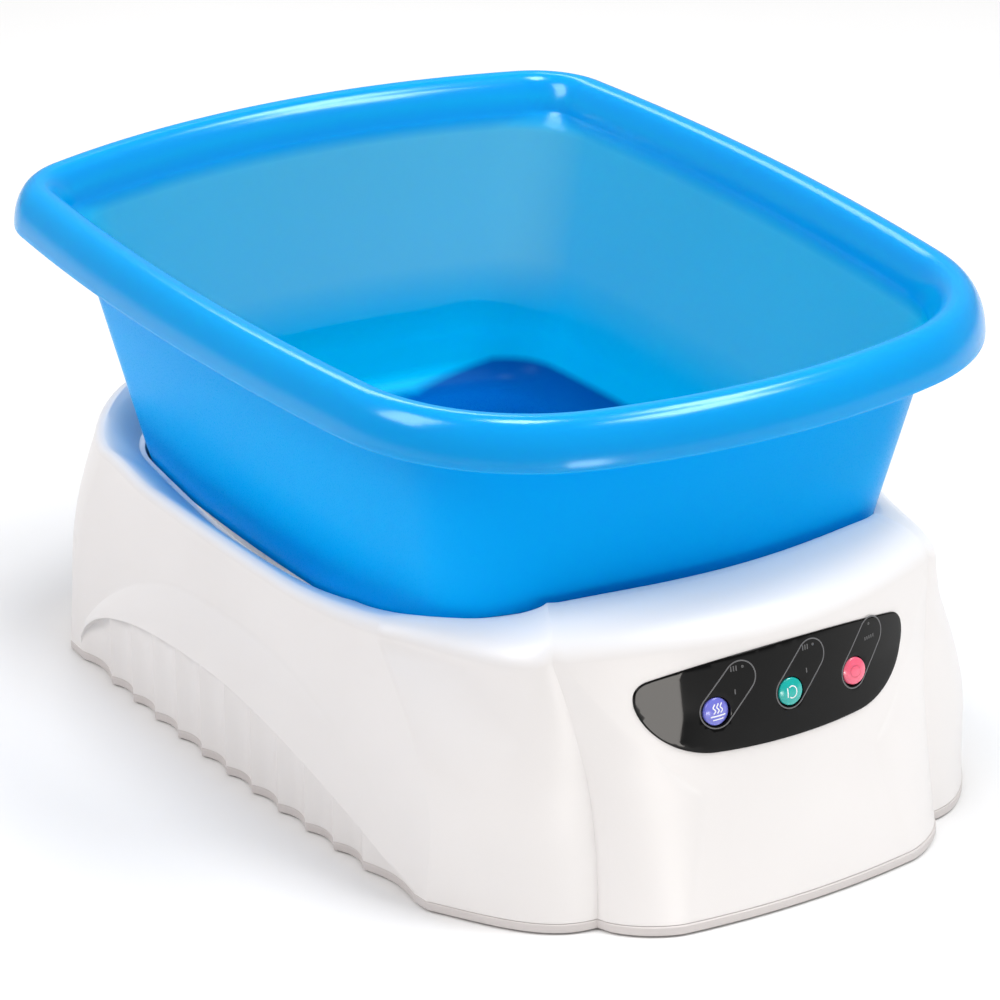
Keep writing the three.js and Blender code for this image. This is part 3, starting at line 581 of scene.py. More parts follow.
def floor_with_nodules(m, edge):
    """Fills the floor inside the edge ring, with a round dome in place of each nodule."""
    spots = tub_floor_cells()
    steps = 24
    loops = [[m.verts[i][:2] for i in edge], *(circle(x, y, NODULE_R, steps) for x, y in spots)]
    index = edge + m.ring([(*Vector(p), TUB_FLOOR) for loop in loops[1:] for p in loop])
    m.faces += [tuple(index[i] for i in t) for t in flat_cells(loops)]
    for k, (x, y) in enumerate(spots):
        start = len(edge) + k * steps
        rings = [index[start : start + steps]]
        for r, h in ((5.4, 0.5), (4.9, 1.6), (4.3, 2.8), (3.3, 3.8), (1.9, 4.4)):
            rings.append(m.ring([(*p, TUB_FLOOR + h) for p in circle(x, y, r, steps)]))
        m.loft(rings)
        m.fan(rings[-1], (x, y, TUB_FLOOR + 4.6))


# ---- base outline
def side_inset(z):
    return 0.05 * z + 0.0005 * z * z


def front_inset(z):
    return 0.1 * z + 0.00066 * z * z


def rear_inset(z):
    return 0.06 * z + 0.0006 * z * z


def crease_shift(z):
    return 0.0 if z < 40 else 61 * ((z - 40) / 85) ** 1.6


def ridge_x(y):
    return SIDE_X - (y - 75) ** 2 / 4500


def crease_x(z):
    waist = 2 * math.sin(math.pi * clamp(z, 0, 90) / 90)
    return 102 - waist + 13 * clamp((z - 70) / 74, 0, 1.2) ** 1.6


def visor_x(z):
    if z < 66:
        return lerp(66, 50, z / 66)
    return 50 + 65 * clamp((z - 66) / 78, 0, 1.2) ** 0.8


def front_y(x, z):
    return FRONT_Y + FRONT_LEAN * z + x * x * lerp(1 / 900, 1 / (2 * PANEL_R), clamp(z / 105))


def flute(y):
    if y > 150 or y < -178:
        return 0.0
    if y > FIRST_RIDGE:
        return FLUTE_DEEP * math.sin(math.pi * (y - FIRST_RIDGE) / 36)
    if y < LAST_RIDGE:
        return FLUTE_DEEP * math.sin(math.pi * (LAST_RIDGE - y) / 42)
    t = (FIRST_RIDGE - y) / FLUTE_PITCH
    s = (t - math.floor(t)) * 2 - 1
    return FLUTE_DEEP * (1 - s * s)


def arch_in(y):
    if y < 5:
        return SEAM + 49.5 * (1 - clamp((5 - y) / 183) ** 1.7)
    return SEAM + 49.5 * math.sqrt(1 - clamp((y - 5) / 147) ** 2.3)


def arch_out(y):
    t = -y / 187 if y < 0 else y / 165
    return SEAM + 81.5 * (1 - clamp(t) ** 2.6)


def bezier(p, t):
    u = 1 - t
    w = (u * u * u, 3 * u * u * t, 3 * u * t * t, t * t * t)
    return tuple(sum(w[i] * p[i][k] for i in range(4)) for k in range(2))


def columns():
    """Columns of the right half, front centre to rear centre: (part, parameter)."""
    stretches = [("bulge", 0, 1, 40), ("cheek", 0, 1, 22), ("corner", 0, 1, 36)]
    stretches += [("side", SIDE_FRONT, LAST_RIDGE, 30), ("side", LAST_RIDGE, FIRST_RIDGE, 160)]
    stretches += [("side", FIRST_RIDGE, SIDE_REAR, 32), ("back", 0, 1, 28)]
    out = [(part, t) for part, a, b, n in stretches for t in spread(a, b, n)]
    x, _, w, _ = INLET
    for a, b, n in ((REAR_X, x + w, 10), (x + w, x - w, 10), (x - w, 0, 12)):
        out += [("rear", 1 - at / REAR_X) for at in spread(a, b, n)]
    return [*out, ("rear", 1.0)]


def hull(c, z):
    """Outer surface point of one column at height z, without flutes and arch."""
    part, t = c
    xe = visor_x(z)
    xc = max(crease_x(z), xe + 0.6)
    yc = -247 + front_inset(z)
    if part == "bulge":
        x = xe * t
        return x, front_y(x, z)
    if part == "cheek":
        p = lerp(1.5, 1.1, smooth((z - 60) / 40))
        g = max(1 - t**p, 0) ** (1 / p)
        return lerp(xe, xc, t), lerp(yc, min(front_y(xe, z), yc - 0.2), g)
    s = smooth(z / 90)
    if part == "corner":
        ys = SIDE_FRONT + crease_shift(z)
        xs = ridge_x(SIDE_FRONT) - side_inset(z)
        end = (xs + ridge_x(ys) - ridge_x(SIDE_FRONT), ys)
        p1 = (xc + 28 - CORNER_LEAN * z, yc + 1 + CORNER_LEAN * z)
        p2 = (xs - lerp(18, 5, s) - CORNER_LEAN * z, ys - lerp(29, 40, s) + CORNER_LEAN * z)
        return bezier([(xc, yc), p1, p2, end], t)
    if part == "side":
        y = t + crease_shift(z) * (clamp((-60 - t) / 128) - REAR_SHARE * clamp((t - 60) / 106))
        return ridge_x(y) - side_inset(z), y
    yr = SIDE_REAR - REAR_SHARE * crease_shift(z)
    xr = ridge_x(yr) - side_inset(z)
    yb = 228 - rear_inset(z)
    if part == "back":
        p1 = (xr - lerp(18, 6, s), yr + lerp(29, 34, s))
        return bezier([(xr, yr), p1, (140 - 0.1 * z, yb - 2), (REAR_X, yb)], t)
    x = REAR_X * (1 - t)
    return x, yb + 2 * (1 - (x / REAR_X) ** 2)


def shoulder(c):
    """Shoulder height, crown width and crown height of a column."""
    part, t = c
    if part == "bulge":
        return lerp(155, 152.5, t**4), 42, 21
    if part == "cheek":
        return 152.5, lerp(42, 36, t), lerp(21, 20, t)
    if part == "corner":
        return 152.5 - 22 * t**0.8, lerp(36, 9, t), lerp(20, 9, t)
    if part == "side":
        rise = clamp((-40 - t) / 148)
        height = 121 + 9.5 * rise**1.5 + 4 * smooth((t - 100) / 60)
        return height, 6 + 3 * rise, 6 + 3 * rise
    if part == "back":
        return lerp(125, 134, smooth(t)), lerp(6, 8, t), lerp(6, 8, t)
    return lerp(134, 138, smooth(t)), 8, 8


class Well:
    """Radius of the tub's wall outline, grown, by plan direction and height."""

    def __init__(self, grow):
        self.grow = grow
        self.levels = {}

    def point(self, direction, z):
        level = round(z * 2) / 2
        if level not in self.levels:
            ring = np.array(wall_ring(level, self.grow))[:, :2]
            a = np.unwrap(np.arctan2(ring[:, 1], ring[:, 0]))
            r = np.hypot(ring[:, 0], ring[:, 1])
            self.levels[level] = (np.concatenate([a - 2 * np.pi, a, a + 2 * np.pi]), np.tile(r, 3))
        a, r = self.levels[level]
        radius = float(np.interp(direction, a, r))
        return radius * math.cos(direction), radius * math.sin(direction)


WELL = Well(WELL_GAP)
SKIRT = Well(WELL_GAP + SHELL)
LOW_ROWS, BAND_ROWS, WALL_ROWS, CROWN_ROWS, LIP_ROWS = 14, 12, 18, 12, 7


def edge_height(x, y):
    """Height of the well's edge towards a point; the plan direction is -90 degrees at the front."""
    turn = math.degrees(math.atan2(y, abs(x)))
    sag = clamp((EDGE_LOW_AT - turn) / 38) ** 2
    climb = smooth((-25 - turn) / 47)
    rear = smooth((turn - 16) / 68)
    front_rise = EDGE_FRONT - EDGE_LOW - EDGE_SAG
    return EDGE_LOW + EDGE_SAG * sag + front_rise * climb + (EDGE_REAR - EDGE_LOW) * rear


def along(p, q, d):
    """Point at distance d from p towards q."""
    share = d / math.dist(p[:2], q[:2])
    return lerp(p[0], q[0], share), lerp(p[1], q[1], share)


def inward(part, p):
    """Where a point of a column moves to when it moves in: straight across the side, else to the well."""
    return (p[0] - 9, p[1]) if part == "side" else WELL.point(math.atan2(p[1], p[0]), 120)


def side_levels(c):
    """Heights and outward moves of a column's lower rows: fluted wall, arch lip and flared band."""
    part, t = c
    y = t if part == "side" else (SIDE_FRONT if part == "corner" else SIDE_REAR)
    zi = max(arch_in(y), SEAM + 0.5)
    zo = max(arch_out(y), zi + 1.6)
    lip = 1.2 * smooth((zi - SEAM) / 12)
    levels = spread(SEAM, zi - 0.5, LOW_ROWS, last=True)
    outs = [side_inset(z) - flute(y) for z in levels]
    at_lip = lip + side_inset(zi)
    at_mid = 0.45 * lip + 0.62 * side_inset(lerp(zi, zo, 0.5)) - 0.12 * side_inset(zo)
    for i, u in enumerate(spread(0, 1, BAND_ROWS, last=True)):
        levels.append(lerp(zi, zo, u))
        out = at_lip * (1 - u) * (1 - 2 * u) + at_mid * 4 * u * (1 - u)
        outs.append(out - (0.25 if i == 0 else 0))
    return levels, outs


def outer_column(c):
    """One column of the base's skin, from the seam to the edge of the well."""
    part, t = c
    zs, crown_w, crown_h = shoulder(c)
    zc = zs - crown_h
    plain = spread(SEAM, 84, LOW_ROWS + BAND_ROWS, last=True)
    shares = {"side": 1.0, "corner": smooth((t - 0.45) / 0.55), "back": smooth(1 - t / 0.55)}
    featured = shares.get(part, 0.0)
    levels, outs = plain, [0.0] * len(plain)
    if featured > 0:
        arch, moves = side_levels(c)
        levels = [lerp(a, b, featured) for a, b in zip(plain, arch)]
        outs = [m if part == "side" else 0.0 for m in moves]
    levels += spread(levels[-1], zc, WALL_ROWS + 1, last=True)[1:]
    outs += [0.0] * WALL_ROWS
    column = []
    for z, out in zip(levels, outs):
        p = hull(c, z)
        x, y = along(p, inward(part, p), -out) if out else p
        column.append((x, y, z))
    edge = hull(c, zc)
    q = WELL.point(math.atan2(edge[1], edge[0]), zs - 6)
    room = math.dist(edge, q)
    wide = min(crown_w, room * 0.85)
    for cosine, sine in cos_sin(0, 90, CROWN_ROWS + 1, last=True)[1:]:
        column.append((*along(edge, q, wide * (1 - cosine)), zc + crown_h * sine))
    left = room - wide
    fall = zs - edge_height(*q)
    for u in spread(0, 1, LIP_ROWS + 1, last=True)[1:]:
        column.append((*along(edge, q, wide + left * u), zs - fall * u**1.3))
    return column


def rounded_rect_point(direction, w, h, r):
    """Point of a rounded rectangle's outline in a plan direction."""
    dx, dy = math.cos(direction), math.sin(direction)
    k = min(w / max(abs(dx), 1e-9), h / max(abs(dy), 1e-9))
    x, y = dx * k, dy * k
    cx, cy = w - r, h - r
    if abs(x) > cx and abs(y) > cy:
        b = dx * cx * (1 if dx > 0 else -1) + dy * cy * (1 if dy > 0 else -1)
        k = b + math.sqrt(max(b * b - cx * cx - cy * cy + r * r, 0))
        x, y = dx * k, dy * k
    return x, y


def mirrored(half):
    left = [[(-x, y, z) for x, y, z in col] for col in half[-2:0:-1]]
    return [*half, *left]


def thickness(c):
    """Thickness of the shell: more along the sides, which hold the flutes."""
    part, t = c
    share = {"side": 1.0, "corner": smooth((t - 0.6) / 0.4), "back": 1 - smooth(t / 0.4)}.get(part, 0.0)
    return lerp(SHELL, SIDE_SHELL, share)


def make_housing():
    """Shell of the base: outer skin, well, window for the heated plate, and the inside."""
    cols = columns()
    outer = mirrored([outer_column(c) for c in cols])
    inside = mirrored([inner_column(c, thickness(c)) for c in cols])
    directions = [math.atan2(col[-1][1], col[-1][0]) for col in outer]
    m = Mesher()

    def well_ring(well, z, scale=1.0):
        found = [well.point(a, z) for a in directions]
        return m.ring([(x * scale, y * scale, z) for x, y in found])

    rings = [m.ring(level) for level in zip(*outer)]
    for drop in (0.7, 2.5, 12):
        heights = [col[-1][2] - drop for col in outer]
        rings.append(m.ring([(*WELL.point(a, z), z) for a, z in zip(directions, heights)]))
    rings += [well_ring(WELL, z) for z in (104.0, 96.0, WELL_FLOOR + 0.6)]
    rings.append(well_ring(WELL, WELL_FLOOR, 0.99))
    step = WELL_FLOOR - 1.3
    for w, h, z in ((68, 98, WELL_FLOOR), (68, 98, step), (62, 92, step), (62, 92, WELL_FLOOR - SHELL)):
        rings.append(m.ring([(*rounded_rect_point(a, w, h, 2.0), z) for a in directions]))
    rings.append(well_ring(SKIRT, WELL_FLOOR - SHELL))
    rings += [m.ring(level) for level in zip(*inside)]
    m.loft([*rings, rings[0]])
    return m


INNER_LEVELS = 22


def inner_column(c, thick):
    """Inside of the shell, from under the shoulder down to the seam."""
    zs, crown_w, crown_h = shoulder(c)
    zc = zs - crown_h
    edge = hull(c, zc)
    q = SKIRT.point(math.atan2(edge[1], edge[0]), zs - 12)
    room = math.dist(edge, q)
    wide = min(crown_w, room * 0.85)
    column = [(*along(edge, q, room), edge_height(*q) - SHELL - 1.0)]
    for deg in (80, 55, 30, 8):
        a = math.radians(deg)
        x, y = along(edge, q, min(wide * (1 - math.cos(a)) + thick * math.cos(a), room - 0.5))
        column.append((x, y, zc + crown_h * math.sin(a) - SHELL))
    for z in spread(zc - SHELL - 1, SEAM, INNER_LEVELS, last=True):
        p = hull(c, z)
        column.append((*along(p, inward(c[0], p), thick), z))
    return column


def cut_windows(piece):
    """Openings through the shell, hidden under the panel or framed by the inlet."""
    x, z, w, h = INLET
    blocks = (((-52, -300, 93), (52, -225, 122)), ((x - w, 205, z - h), (x + w, 245, z + h)))
    for low, high in blocks:
        cutter = bmesh.new()
        bmesh.ops.create_cube(cutter, size=1)
        for v in cutter.verts:
            v.co = Vector([(lerp(low[k], high[k], v.co[k] + 0.5) + SHIFT[k]) * MM for k in range(3)])
        mesh = bpy.data.meshes.new("cutter")
        cutter.to_mesh(mesh)
        cutter.free()
        tool = new_object("cutter", mesh)
        mod = piece.modifiers.new("cut", "BOOLEAN")
        mod.operation = "DIFFERENCE"
        mod.solver = "EXACT"
        mod.object = tool
        bpy.context.view_layer.update()
        graph = bpy.context.evaluated_depsgraph_get()
        piece_mesh = bpy.data.meshes.new_from_object(piece.evaluated_get(graph))
        piece.modifiers.clear()
        piece.data = piece_mesh
        bpy.data.objects.remove(tool)
        bpy.data.meshes.remove(mesh)


tub = add_piece("tub_moulding", make_tub(), "tub", LOOKS["tub"], 60)
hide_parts("tub")
shell = add_piece("housing_shell", make_housing(), "base", LOOKS["housing"], 32)
cut_windows(shell)
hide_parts("housing")


# ---- thin raised lines
def inset_loop(loop, d):
    """The closed loop moved inward by d; the loop runs anticlockwise."""
    moved = []
    count = len(loop)
    for i in range(count):
        a, b = Vector(loop[i - 1]), Vector(loop[(i + 1) % count])
        run = (b - a).normalized()
        moved.append((loop[i][0] - run.y * d, loop[i][1] + run.x * d))
    return moved


def strip(m, path, width, low, high, place, closed=False):
    """Thin raised line along a path of (u, v) points; place(u, v, out) puts a point on the surface."""
    count = len(path)
    rows = []
    for i, (u, v) in enumerate(path):
        a = Vector(path[i - 1] if closed or i else path[i])
        b = Vector(path[(i + 1) % count] if closed or i + 1 < count else path[i])
        run = (b - a).normalized()
        side = (-run.y * width / 2, run.x * width / 2)
        corners = ((1.0, low), (0.8, high), (-0.8, high), (-1.0, low))
        rows.append(m.ring([place(u + side[0] * k, v + side[1] * k, out) for k, out in corners]))
    m.loft([*rows, rows[0]] if closed else rows)
    if not closed:
        m.ends(rows)


# ---- control panel
PRESS = Vector((0, 1, -FRONT_LEAN)).normalized()  # the way a button is pushed
PANEL_PROUD, PANEL_BACK = 0.9, -1.6
BUTTON_HOLE = BUTTON_R + 0.35
CAPSULE = (13.7, 14.4, 8.3)  # step from the button to the far end of its outline, and its radius


def panel_point(x, z, out):
    y = front_y(x, z)
    return x, y - PRESS.y * out, z - PRESS.z * out


def panel_outline():
    """Anticlockwise outline of the panel seen from the front, as (x, z)."""
    right = []
    curves = (
        ((0, 84.3), (20, 84.3), (30, 84.5), (44, 85)),
        ((44, 85), (62, 86.5), (76, 97), (79.6, 111)),
        ((79.6, 111), (81, 118), (78.5, 122.5), (71.5, 124)),
        ((71.5, 124), (49.2, 129.3), (25.3, 132), (0, 132)),
    )
    for curve, count in zip(curves, (14, 26, 16, 24)):
        right += [bezier(curve, t) for t in spread(0, 1, count)]
    return [*right, (0, 132), *[(-x, z) for x, z in right[:0:-1]]]


def button_centres():
    return (("wave", -BUTTON_X, BUTTON_Z), ("bubble", 0.0, BUTTON_Z + 1.5), ("power", BUTTON_X, BUTTON_Z))


def make_fascia():
    """Curved glossy panel with a bevelled rim and three button holes."""
    m = Mesher()
    outline = panel_outline()

    def wall(levels):
        """Lofts loops at their distances out of the panel's curve; returns the first and the last."""
        rings = [(loop, m.ring([panel_point(x, z, out) for x, z in loop])) for loop, out in levels]
        m.loft([ids for _, ids in rings])
        return rings[0], rings[-1]

    bevel = ((0.0, 0.55), (0.12, 0.22), (0.35, 0.05), (0.7, 0.0))
    edge = [(inset_loop(outline, by), PANEL_PROUD - down) for by, down in bevel]
    back, front = wall([(outline, PANEL_BACK), *edge])
    fronts, backs = [front], [back]
    mouth = ((0.4, PANEL_PROUD), (0.1, PANEL_PROUD - 0.12), (0.0, PANEL_PROUD - 0.4), (0.0, PANEL_BACK))
    for _, x, z in button_centres():
        front, back = wall([(circle(x, z, BUTTON_HOLE + r, 48, PRESS.y), out) for r, out in mouth])
        fronts.append(front)
        backs.append(back)
    for group, out in ((fronts, PANEL_PROUD), (backs, PANEL_BACK)):
        loops = [loop for loop, _ in group]
        grid = grid_inside(loops, 2.4)
        index = [i for _, ids in group for i in ids] + m.ring([panel_point(x, z, out) for x, z in grid])
        m.faces += [tuple(index[i] for i in t) for t in flat_cells(loops, grid)]
    return m


def grid_inside(loops, pitch):
    """Grid points inside the first loop and clear of every loop."""
    edges = [np.array(loop) for loop in loops]
    ring = edges[0]
    after = np.roll(ring, -1, axis=0)
    low, high = ring.min(axis=0), ring.max(axis=0)
    kept = []
    for x in np.arange(low[0], high[0], pitch):
        for z in np.arange(low[1], high[1], pitch):
            crosses = (ring[:, 1] > z) != (after[:, 1] > z)
            run = after[crosses] - ring[crosses]
            cut = ring[crosses][:, 0] + (z - ring[crosses][:, 1]) / run[:, 1] * run[:, 0]
            inside = np.count_nonzero(cut > x) % 2 == 1
            clear = all(np.hypot(e[:, 0] - x, e[:, 1] - z).min() > pitch * 0.5 for e in edges)
            middles = [(e.mean(axis=0), e[0]) for e in edges[1:]]
            if inside and clear and all(math.dist(c, (x, z)) > math.dist(c, rim) for c, rim in middles):
                kept.append((float(x), float(z)))
    return kept


def capsule_path(x, z):
    dx, dz, r = CAPSULE
    lean = math.atan2(dz, dx)
    path = []
    for u, v, turn in ((x, z, lean + math.pi), (x + dx, z + dz, lean)):
        for a in spread(turn - math.pi / 2, turn + math.pi / 2, 28, last=True):
            path.append((u + r * math.cos(a), v + r * math.sin(a)))
    return path


def divided(path, step, closed=False):
    """The path with extra points so that no piece is longer than step."""
    ends = [*path, path[0]] if closed else path
    out = []
    for a, b in zip(ends, ends[1:]):
        count = max(1, math.ceil(math.dist(a, b) / step))
        out += [(lerp(a[0], b[0], i / count), lerp(a[1], b[1], i / count)) for i in range(count)]
    return out if closed else [*out, path[-1]]


def make_panel_marks():
    """Capsule outlines round the button groups, printed proud of the panel."""
    m = Mesher()
    low, high = PANEL_PROUD - 0.06, PANEL_PROUD + 0.05
    for _, x, z in button_centres():
        strip(m, divided(capsule_path(x, z), 0.8, True), 0.75, low, high, panel_point, closed=True)
    return m


def make_level_marks():
    """Three bars and a dot for high, one bar for low; a row of short bars and a dot for power."""
    m = Mesher()
    low, high = PANEL_PROUD - 0.06, PANEL_PROUD + 0.045
    for name, x, z in button_centres():
        bars = [(9.2, 18.0, 2.6), (10.6, 18.0, 2.6), (12.0, 18.0, 2.6), (10.4, 6.7, 2.4)]
        dot = (15.4, 19.6)
        if name == "power":
            bars = [(9.6 + 1.5 * k, 12.2, 1.6) for k in range(5)]
            dot = (13.0, 19.6)
        for dx, dz, tall in bars:
            path = [(x + dx, z + dz), (x + dx, z + dz + tall)]
            strip(m, divided(path, 0.6), 0.7, low, high, panel_point)
        strip(m, circle(x + dot[0], z + dot[1], 0.45, 16), 0.5, low, high, panel_point, closed=True)
    return m


DOME_EDGE, DOME_TOP = 0.9, 2.4  # how far the cap's shoulder and crown stand out of the panel's curve
CAP_R = BUTTON_R - 0.1


def dome_height(r):
    return lerp(DOME_TOP, DOME_EDGE + 0.25, (r / (CAP_R - 0.5)) ** 2.4)


def cap_profile(stem):
    """Domed cap with a rounded shoulder and a stem that ends at the given height below."""
    crown = [(r, dome_height(r)) for r in spread(0.0, CAP_R - 0.5, 12)]
    edge = [(CAP_R - 0.5, DOME_EDGE + 0.25), (CAP_R - 0.15, DOME_EDGE + 0.02), (CAP_R, DOME_EDGE - 0.35)]
    under = [(CAP_R, -3.3), (CAP_R - 0.3, -3.6), (2.3, -3.6), (2.0, -3.9)]
    return [*crown, *edge, *under, (2.0, stem + 0.3), (1.7, stem), (0.0, stem)]


def button_surface(x, z):
    """Places a point on the cap's dome: u across, v up, out above the dome."""
    centre = Vector(panel_point(x, z, 0))
    up = Vector((0, -PRESS.z, PRESS.y))
    across = Vector((1, 0, 0))

    def place(u, v, out):
        h = dome_height(math.hypot(u, v)) + out
        return tuple(centre + across * u + up * v - PRESS * h)

    return place


def emblem(m, name, place):
    """Raised sign on a cap: waves over two bars, an open ring beside a bar, or a plain ring."""
    low, high = -0.06, 0.07
    if name == "wave":
        for shift in (-2.0, 0.0, 2.0):
            path = [(shift + 0.55 * math.sin(v * 1.9), v) for v in spread(-0.6, 4.2, 22, last=True)]
            strip(m, path, 0.75, low, high, place)
        strip(m, [(u, -1.9) for u in spread(-4.2, 4.2, 12, last=True)], 0.8, low, high, place)
        strip(m, [(u, -3.7) for u in spread(-3.0, 3.0, 10, last=True)], 0.7, low, high, place)
    elif name == "bubble":
        bend = [(2.6 * math.cos(a), 3.0 * math.sin(a)) for a in spread(-2.2, 2.2, 30, last=True)]
        strip(m, bend, 0.6, low, high, place)
        strip(m, [(-2.6, v) for v in spread(-2.4, 2.4, 10, last=True)], 0.6, low, high, place)
    else:
        strip(m, circle(0, 0, 2.9, 36), 0.45, low, high, place, closed=True)


def make_buttons():
    signs = {"wave": MARK_WHITE, "bubble": MARK_WHITE, "power": SIGN_PINK}
    caps = {"wave": "cap_violet", "bubble": "cap_teal", "power": "cap_pink"}
    for name, x, z in button_centres():
        body = "button_" + name
        middle = panel_point(x, z, 0)
        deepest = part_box(body)[1].y / MM - SHIFT[1] - middle[1]
        made = Mesher()
        made.lathe(cap_profile((2.0 * abs(PRESS.z) - deepest) / PRESS.y), middle, -PRESS, 56)
        cap = add_piece("cap_" + name, made, body, LOOKS[caps[name]], 50)
        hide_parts(body)
        sign = Mesher()
        emblem(sign, name, button_surface(x, z))
        add_piece("sign_" + name, sign, body, signs[name], 30)


# ---- tray and posts
BOSSES = [(x, y) for x in (-100.0, 100.0) for y in (-150.0, 0.0, 140.0)]
FEET = [(-138.0, -178.0), (138.0, -178.0), (-142.0, 178.0), (142.0, 178.0)]
TRAY_TOP, TRAY_FLOOR, TRAY_RIM = SEAM - 0.3, 2.4, 9.0


def tray_loop(inset, fluted=True):
    """Outline of the base at the ground, moved inward."""
    half = []
    for part, t in columns()[::2] + [("rear", 1.0)]:
        p = hull((part, t), 0)
        move = inset + (flute(t) if part == "side" and fluted else 0.0)
        half.append(along(p, inward(part, p), move) if move else p)
    if math.dist(half[-1], half[-2]) < 1e-6:
        half.pop()
    return [*half, *[(-x, y) for x, y in half[-2:0:-1]]]


def make_tray():
    """Bottom cover with a fluted edge, screw bosses, foot recesses and stiffening ribs."""
    m = Mesher()

    def level(loop, z):
        return loop, m.ring([(x, y, z) for x, y in loop])

    def wall(*rings):
        m.loft([ids for _, ids in rings])

    def floor(*group):
        index = [i for _, ids in group for i in ids]
        m.faces.extend(tuple(index[i] for i in t) for t in flat_cells([loop for loop, _ in group]))

    edge = tray_loop(0.0)
    under = level(tray_loop(0.8), 0.0)
    top_out = level(tray_loop(0.35), TRAY_TOP)
    wall(under, level(tray_loop(0.2), 0.25), level(edge, 0.8), level(edge, TRAY_TOP - 0.35), top_out)
    recess_loop = inset_loop(tray_loop(0.0, False), TRAY_RIM)
    top_in = level(recess_loop, TRAY_TOP)
    recess = level(recess_loop, TRAY_FLOOR)
    wall(top_out, top_in, recess)
    below, above = [], []
    for x, y in FEET:
        mouth = level(circle(x, y, 9.3, 40), 0.0)
        deep = level(circle(x, y, 9.3, 40), 1.2)
        wall(mouth, deep)
        m.fan(deep[1], (x, y, 1.2))
        below.append(mouth)
    counterbore = ((4.6, 0.0), (4.6, 3.4), (2.2, 3.4), (2.2, 8.7))
    boss = ((5.6, 8.7), (6.0, 8.3), (7.0, TRAY_FLOOR))
    for x, y in BOSSES:
        rings = [level(circle(x, y, r, 32), z) for r, z in counterbore + boss]
        wall(*rings)
        below.append(rings[0])
        above.append(rings[-1])
    floor(under, *below)
    floor(recess, *above)
    for x in (-60.0, -20.0, 20.0, 60.0):
        rows = []
        taper = ((TRAY_FLOOR - 0.6, 1.3, 0.0), (TRAY_TOP - 0.2, 0.9, 0.4), (TRAY_TOP + 0.2, 0.6, 1.0))
        for z, w, trim in taper:
            y0, y1 = -150.0 + trim, 165.0 - trim
            rows.append(m.ring([(x - w, y0, z), (x + w, y0, z), (x + w, y1, z), (x - w, y1, z)]))
        m.loft(rows)
        m.ends(rows)
    return m


def make_posts():
    """Screw posts of the housing, from the tray bosses up to the well floor."""
    m = Mesher()
    top = WELL_FLOOR - SHELL - 0.2
    bore = [(0.0, 30.0), (1.6, 30.0), (1.6, 9.6), (2.1, 9.0)]
    outside = [(5.6, 9.0), (6.0, 9.4), (6.4, top - 1.8), (8.0, top), (0.0, top)]
    for x, y in BOSSES:
        m.lathe([*bore, *outside], (x, y, 0.0), (0, 0, 1), 28)
    return m


fascia = add_piece("fascia_panel", make_fascia(), "base", LOOKS["fascia"], 30)
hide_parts("fascia")
add_piece("panel_outlines", make_panel_marks(), "base", MARK_GREY, 30)
add_piece("level_marks", make_level_marks(), "base", MARK_DIM, 30)
make_buttons()
tray = add_piece("tray_moulding", make_tray(), "base", LOOKS["tray"], 32)
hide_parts("tray")
add_piece("screw_posts", make_posts(), "base", LOOKS["housing"], 40)


# ---- carried-over CAD nodes
def dress_cad_nodes():
    slots = {s["node"]: s["material_slot"] for s in frame["record"]["subparts"]}
    for name, node in frame["nodes"].items():
        node.data.materials.clear()
        node.data.materials.append(LOOKS[slots[name]])


dress_cad_nodes()


# ---- stage
def link_stage(name, points, material):
    """One flat face that belongs to the studio, not to the object."""
    mesh = bpy.data.meshes.new(name)
    mesh.from_pydata(points, [], [(0, 1, 2, 3)])
    mesh.materials.append(material)
    plate = new_object(name, mesh)


def make_floor():
    m = Nodes("floor_white")
    colour = m.drift(m.noise(3.0, 2.0), (0.81, 0.81, 0.81), (0.83, 0.83, 0.83))
    s = FLOOR_HALF
    points = [(-s, -s, 0), (s, -s, 0), (s, s, 0), (-s, s, 0)]
    link_stage("floor", points, m.surface(Base_Color=colour, Roughness=0.9, Specular_IOR_Level=0.2))


def make_world():
    world = bpy.data.worlds.new("studio")
    bpy.context.scene.world = world
    world.use_nodes = True
    background = world.node_tree.nodes["Background"]
    background.inputs["Color"].default_value = (1.0, 1.0, 1.0, 1)
    background.inputs["Strength"].default_value = WORLD_LEVEL


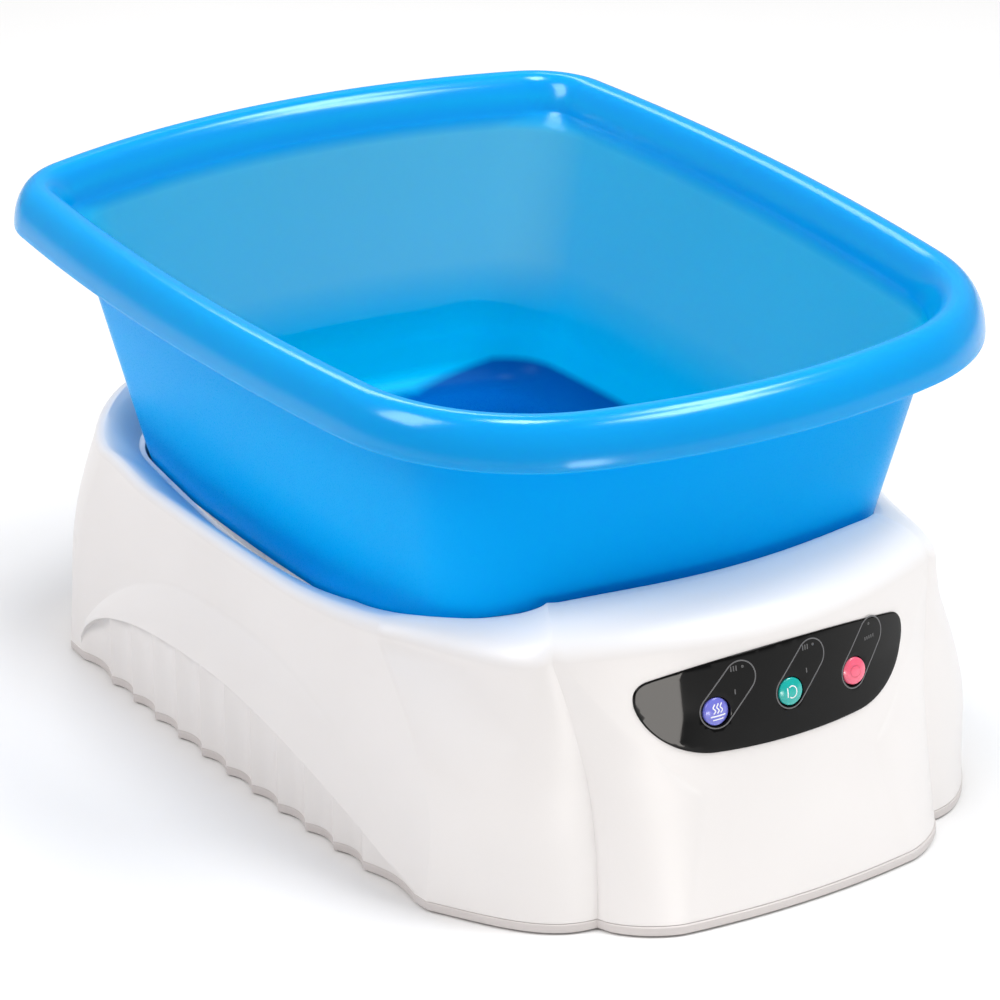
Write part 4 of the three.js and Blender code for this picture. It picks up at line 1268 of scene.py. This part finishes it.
def make_card():
    """Bright low card in front of the object, mirrored by the panel's left end."""
    x0, x1, y, z0, z1 = CARD
    m = Nodes("card_glow")
    warm = m.drift(m.noise(4.0, 1.0), (1.0, 0.95, 0.90), (1.0, 0.96, 0.91))
    glow = m.add("ShaderNodeEmission", {"Color": warm, "Strength": CARD_GLOW}).outputs["Emission"]
    link_stage("card", [(x0, y, z0), (x1, y, z0), (x1, y, z1), (x0, y, z1)], m.finish(glow))


def area_light(name, at, size, power, colour):
    """Rectangular lamp in metres, aimed at the object's middle."""
    light = bpy.data.lights.new(name, "AREA")
    light.shape = "RECTANGLE"
    light.size, light.size_y = size
    light.energy = power
    light.color = colour
    lamp = new_object(name, light)
    lamp.location = at
    lamp.rotation_euler = (Vector(LIGHT_AIM) - Vector(at)).to_track_quat("-Z", "Y").to_euler()


FLOOR_HALF = 6.0
LIGHT_AIM = (0, 0, 0.1)
CARD = (-0.30, -0.045, -1.0, 0.001, 0.125)  # x0, x1, y, z0, z1 in metres
CARD_GLOW = 12.0
WORLD_LEVEL = 0.30
# name, place, size, power in watts and colour of each lamp
LIGHTS = (
    ("overhead", (-0.1, -0.05, 2.4), (0.5, 0.6), 19, (1.0, 1.0, 1.0)),
    ("overhead_right", (1.0, -0.45, 2.3), (0.7, 0.5), 19, (1.0, 1.0, 1.0)),
    ("back_top", (0.4, 1.7, 1.9), (1.2, 0.5), 11, (1.0, 1.0, 1.0)),
    ("front_top", (0.95, -1.35, 2.3), (0.9, 0.6), 29, (1.0, 1.0, 1.0)),
    ("left", (-1.9, 0.3, 1.9), (0.9, 1.2), 33, (1.0, 0.965, 0.955)),
)
CAMERA_AZIMUTH = -32.345
CAMERA_ELEVATION = 23.998
CAMERA_AT = (-1.0908, -1.7074, 1.0177)
CAMERA_LENS = 151.2


def make_camera():
    data = bpy.data.cameras.new("camera")
    data.sensor_width = 36.0
    data.lens = CAMERA_LENS
    data.clip_end = 50
    camera = new_object("camera", data)
    camera.location = CAMERA_AT
    camera.rotation_euler = (math.radians(90 - CAMERA_ELEVATION), 0, math.radians(CAMERA_AZIMUTH))
    bpy.context.scene.camera = camera


make_floor()
make_world()
make_card()
for lamp in LIGHTS:
    area_light(*lamp)
make_camera()
view = bpy.context.scene.view_settings
view.view_transform = "Standard"
view.look = "None"
view.exposure = 0.0
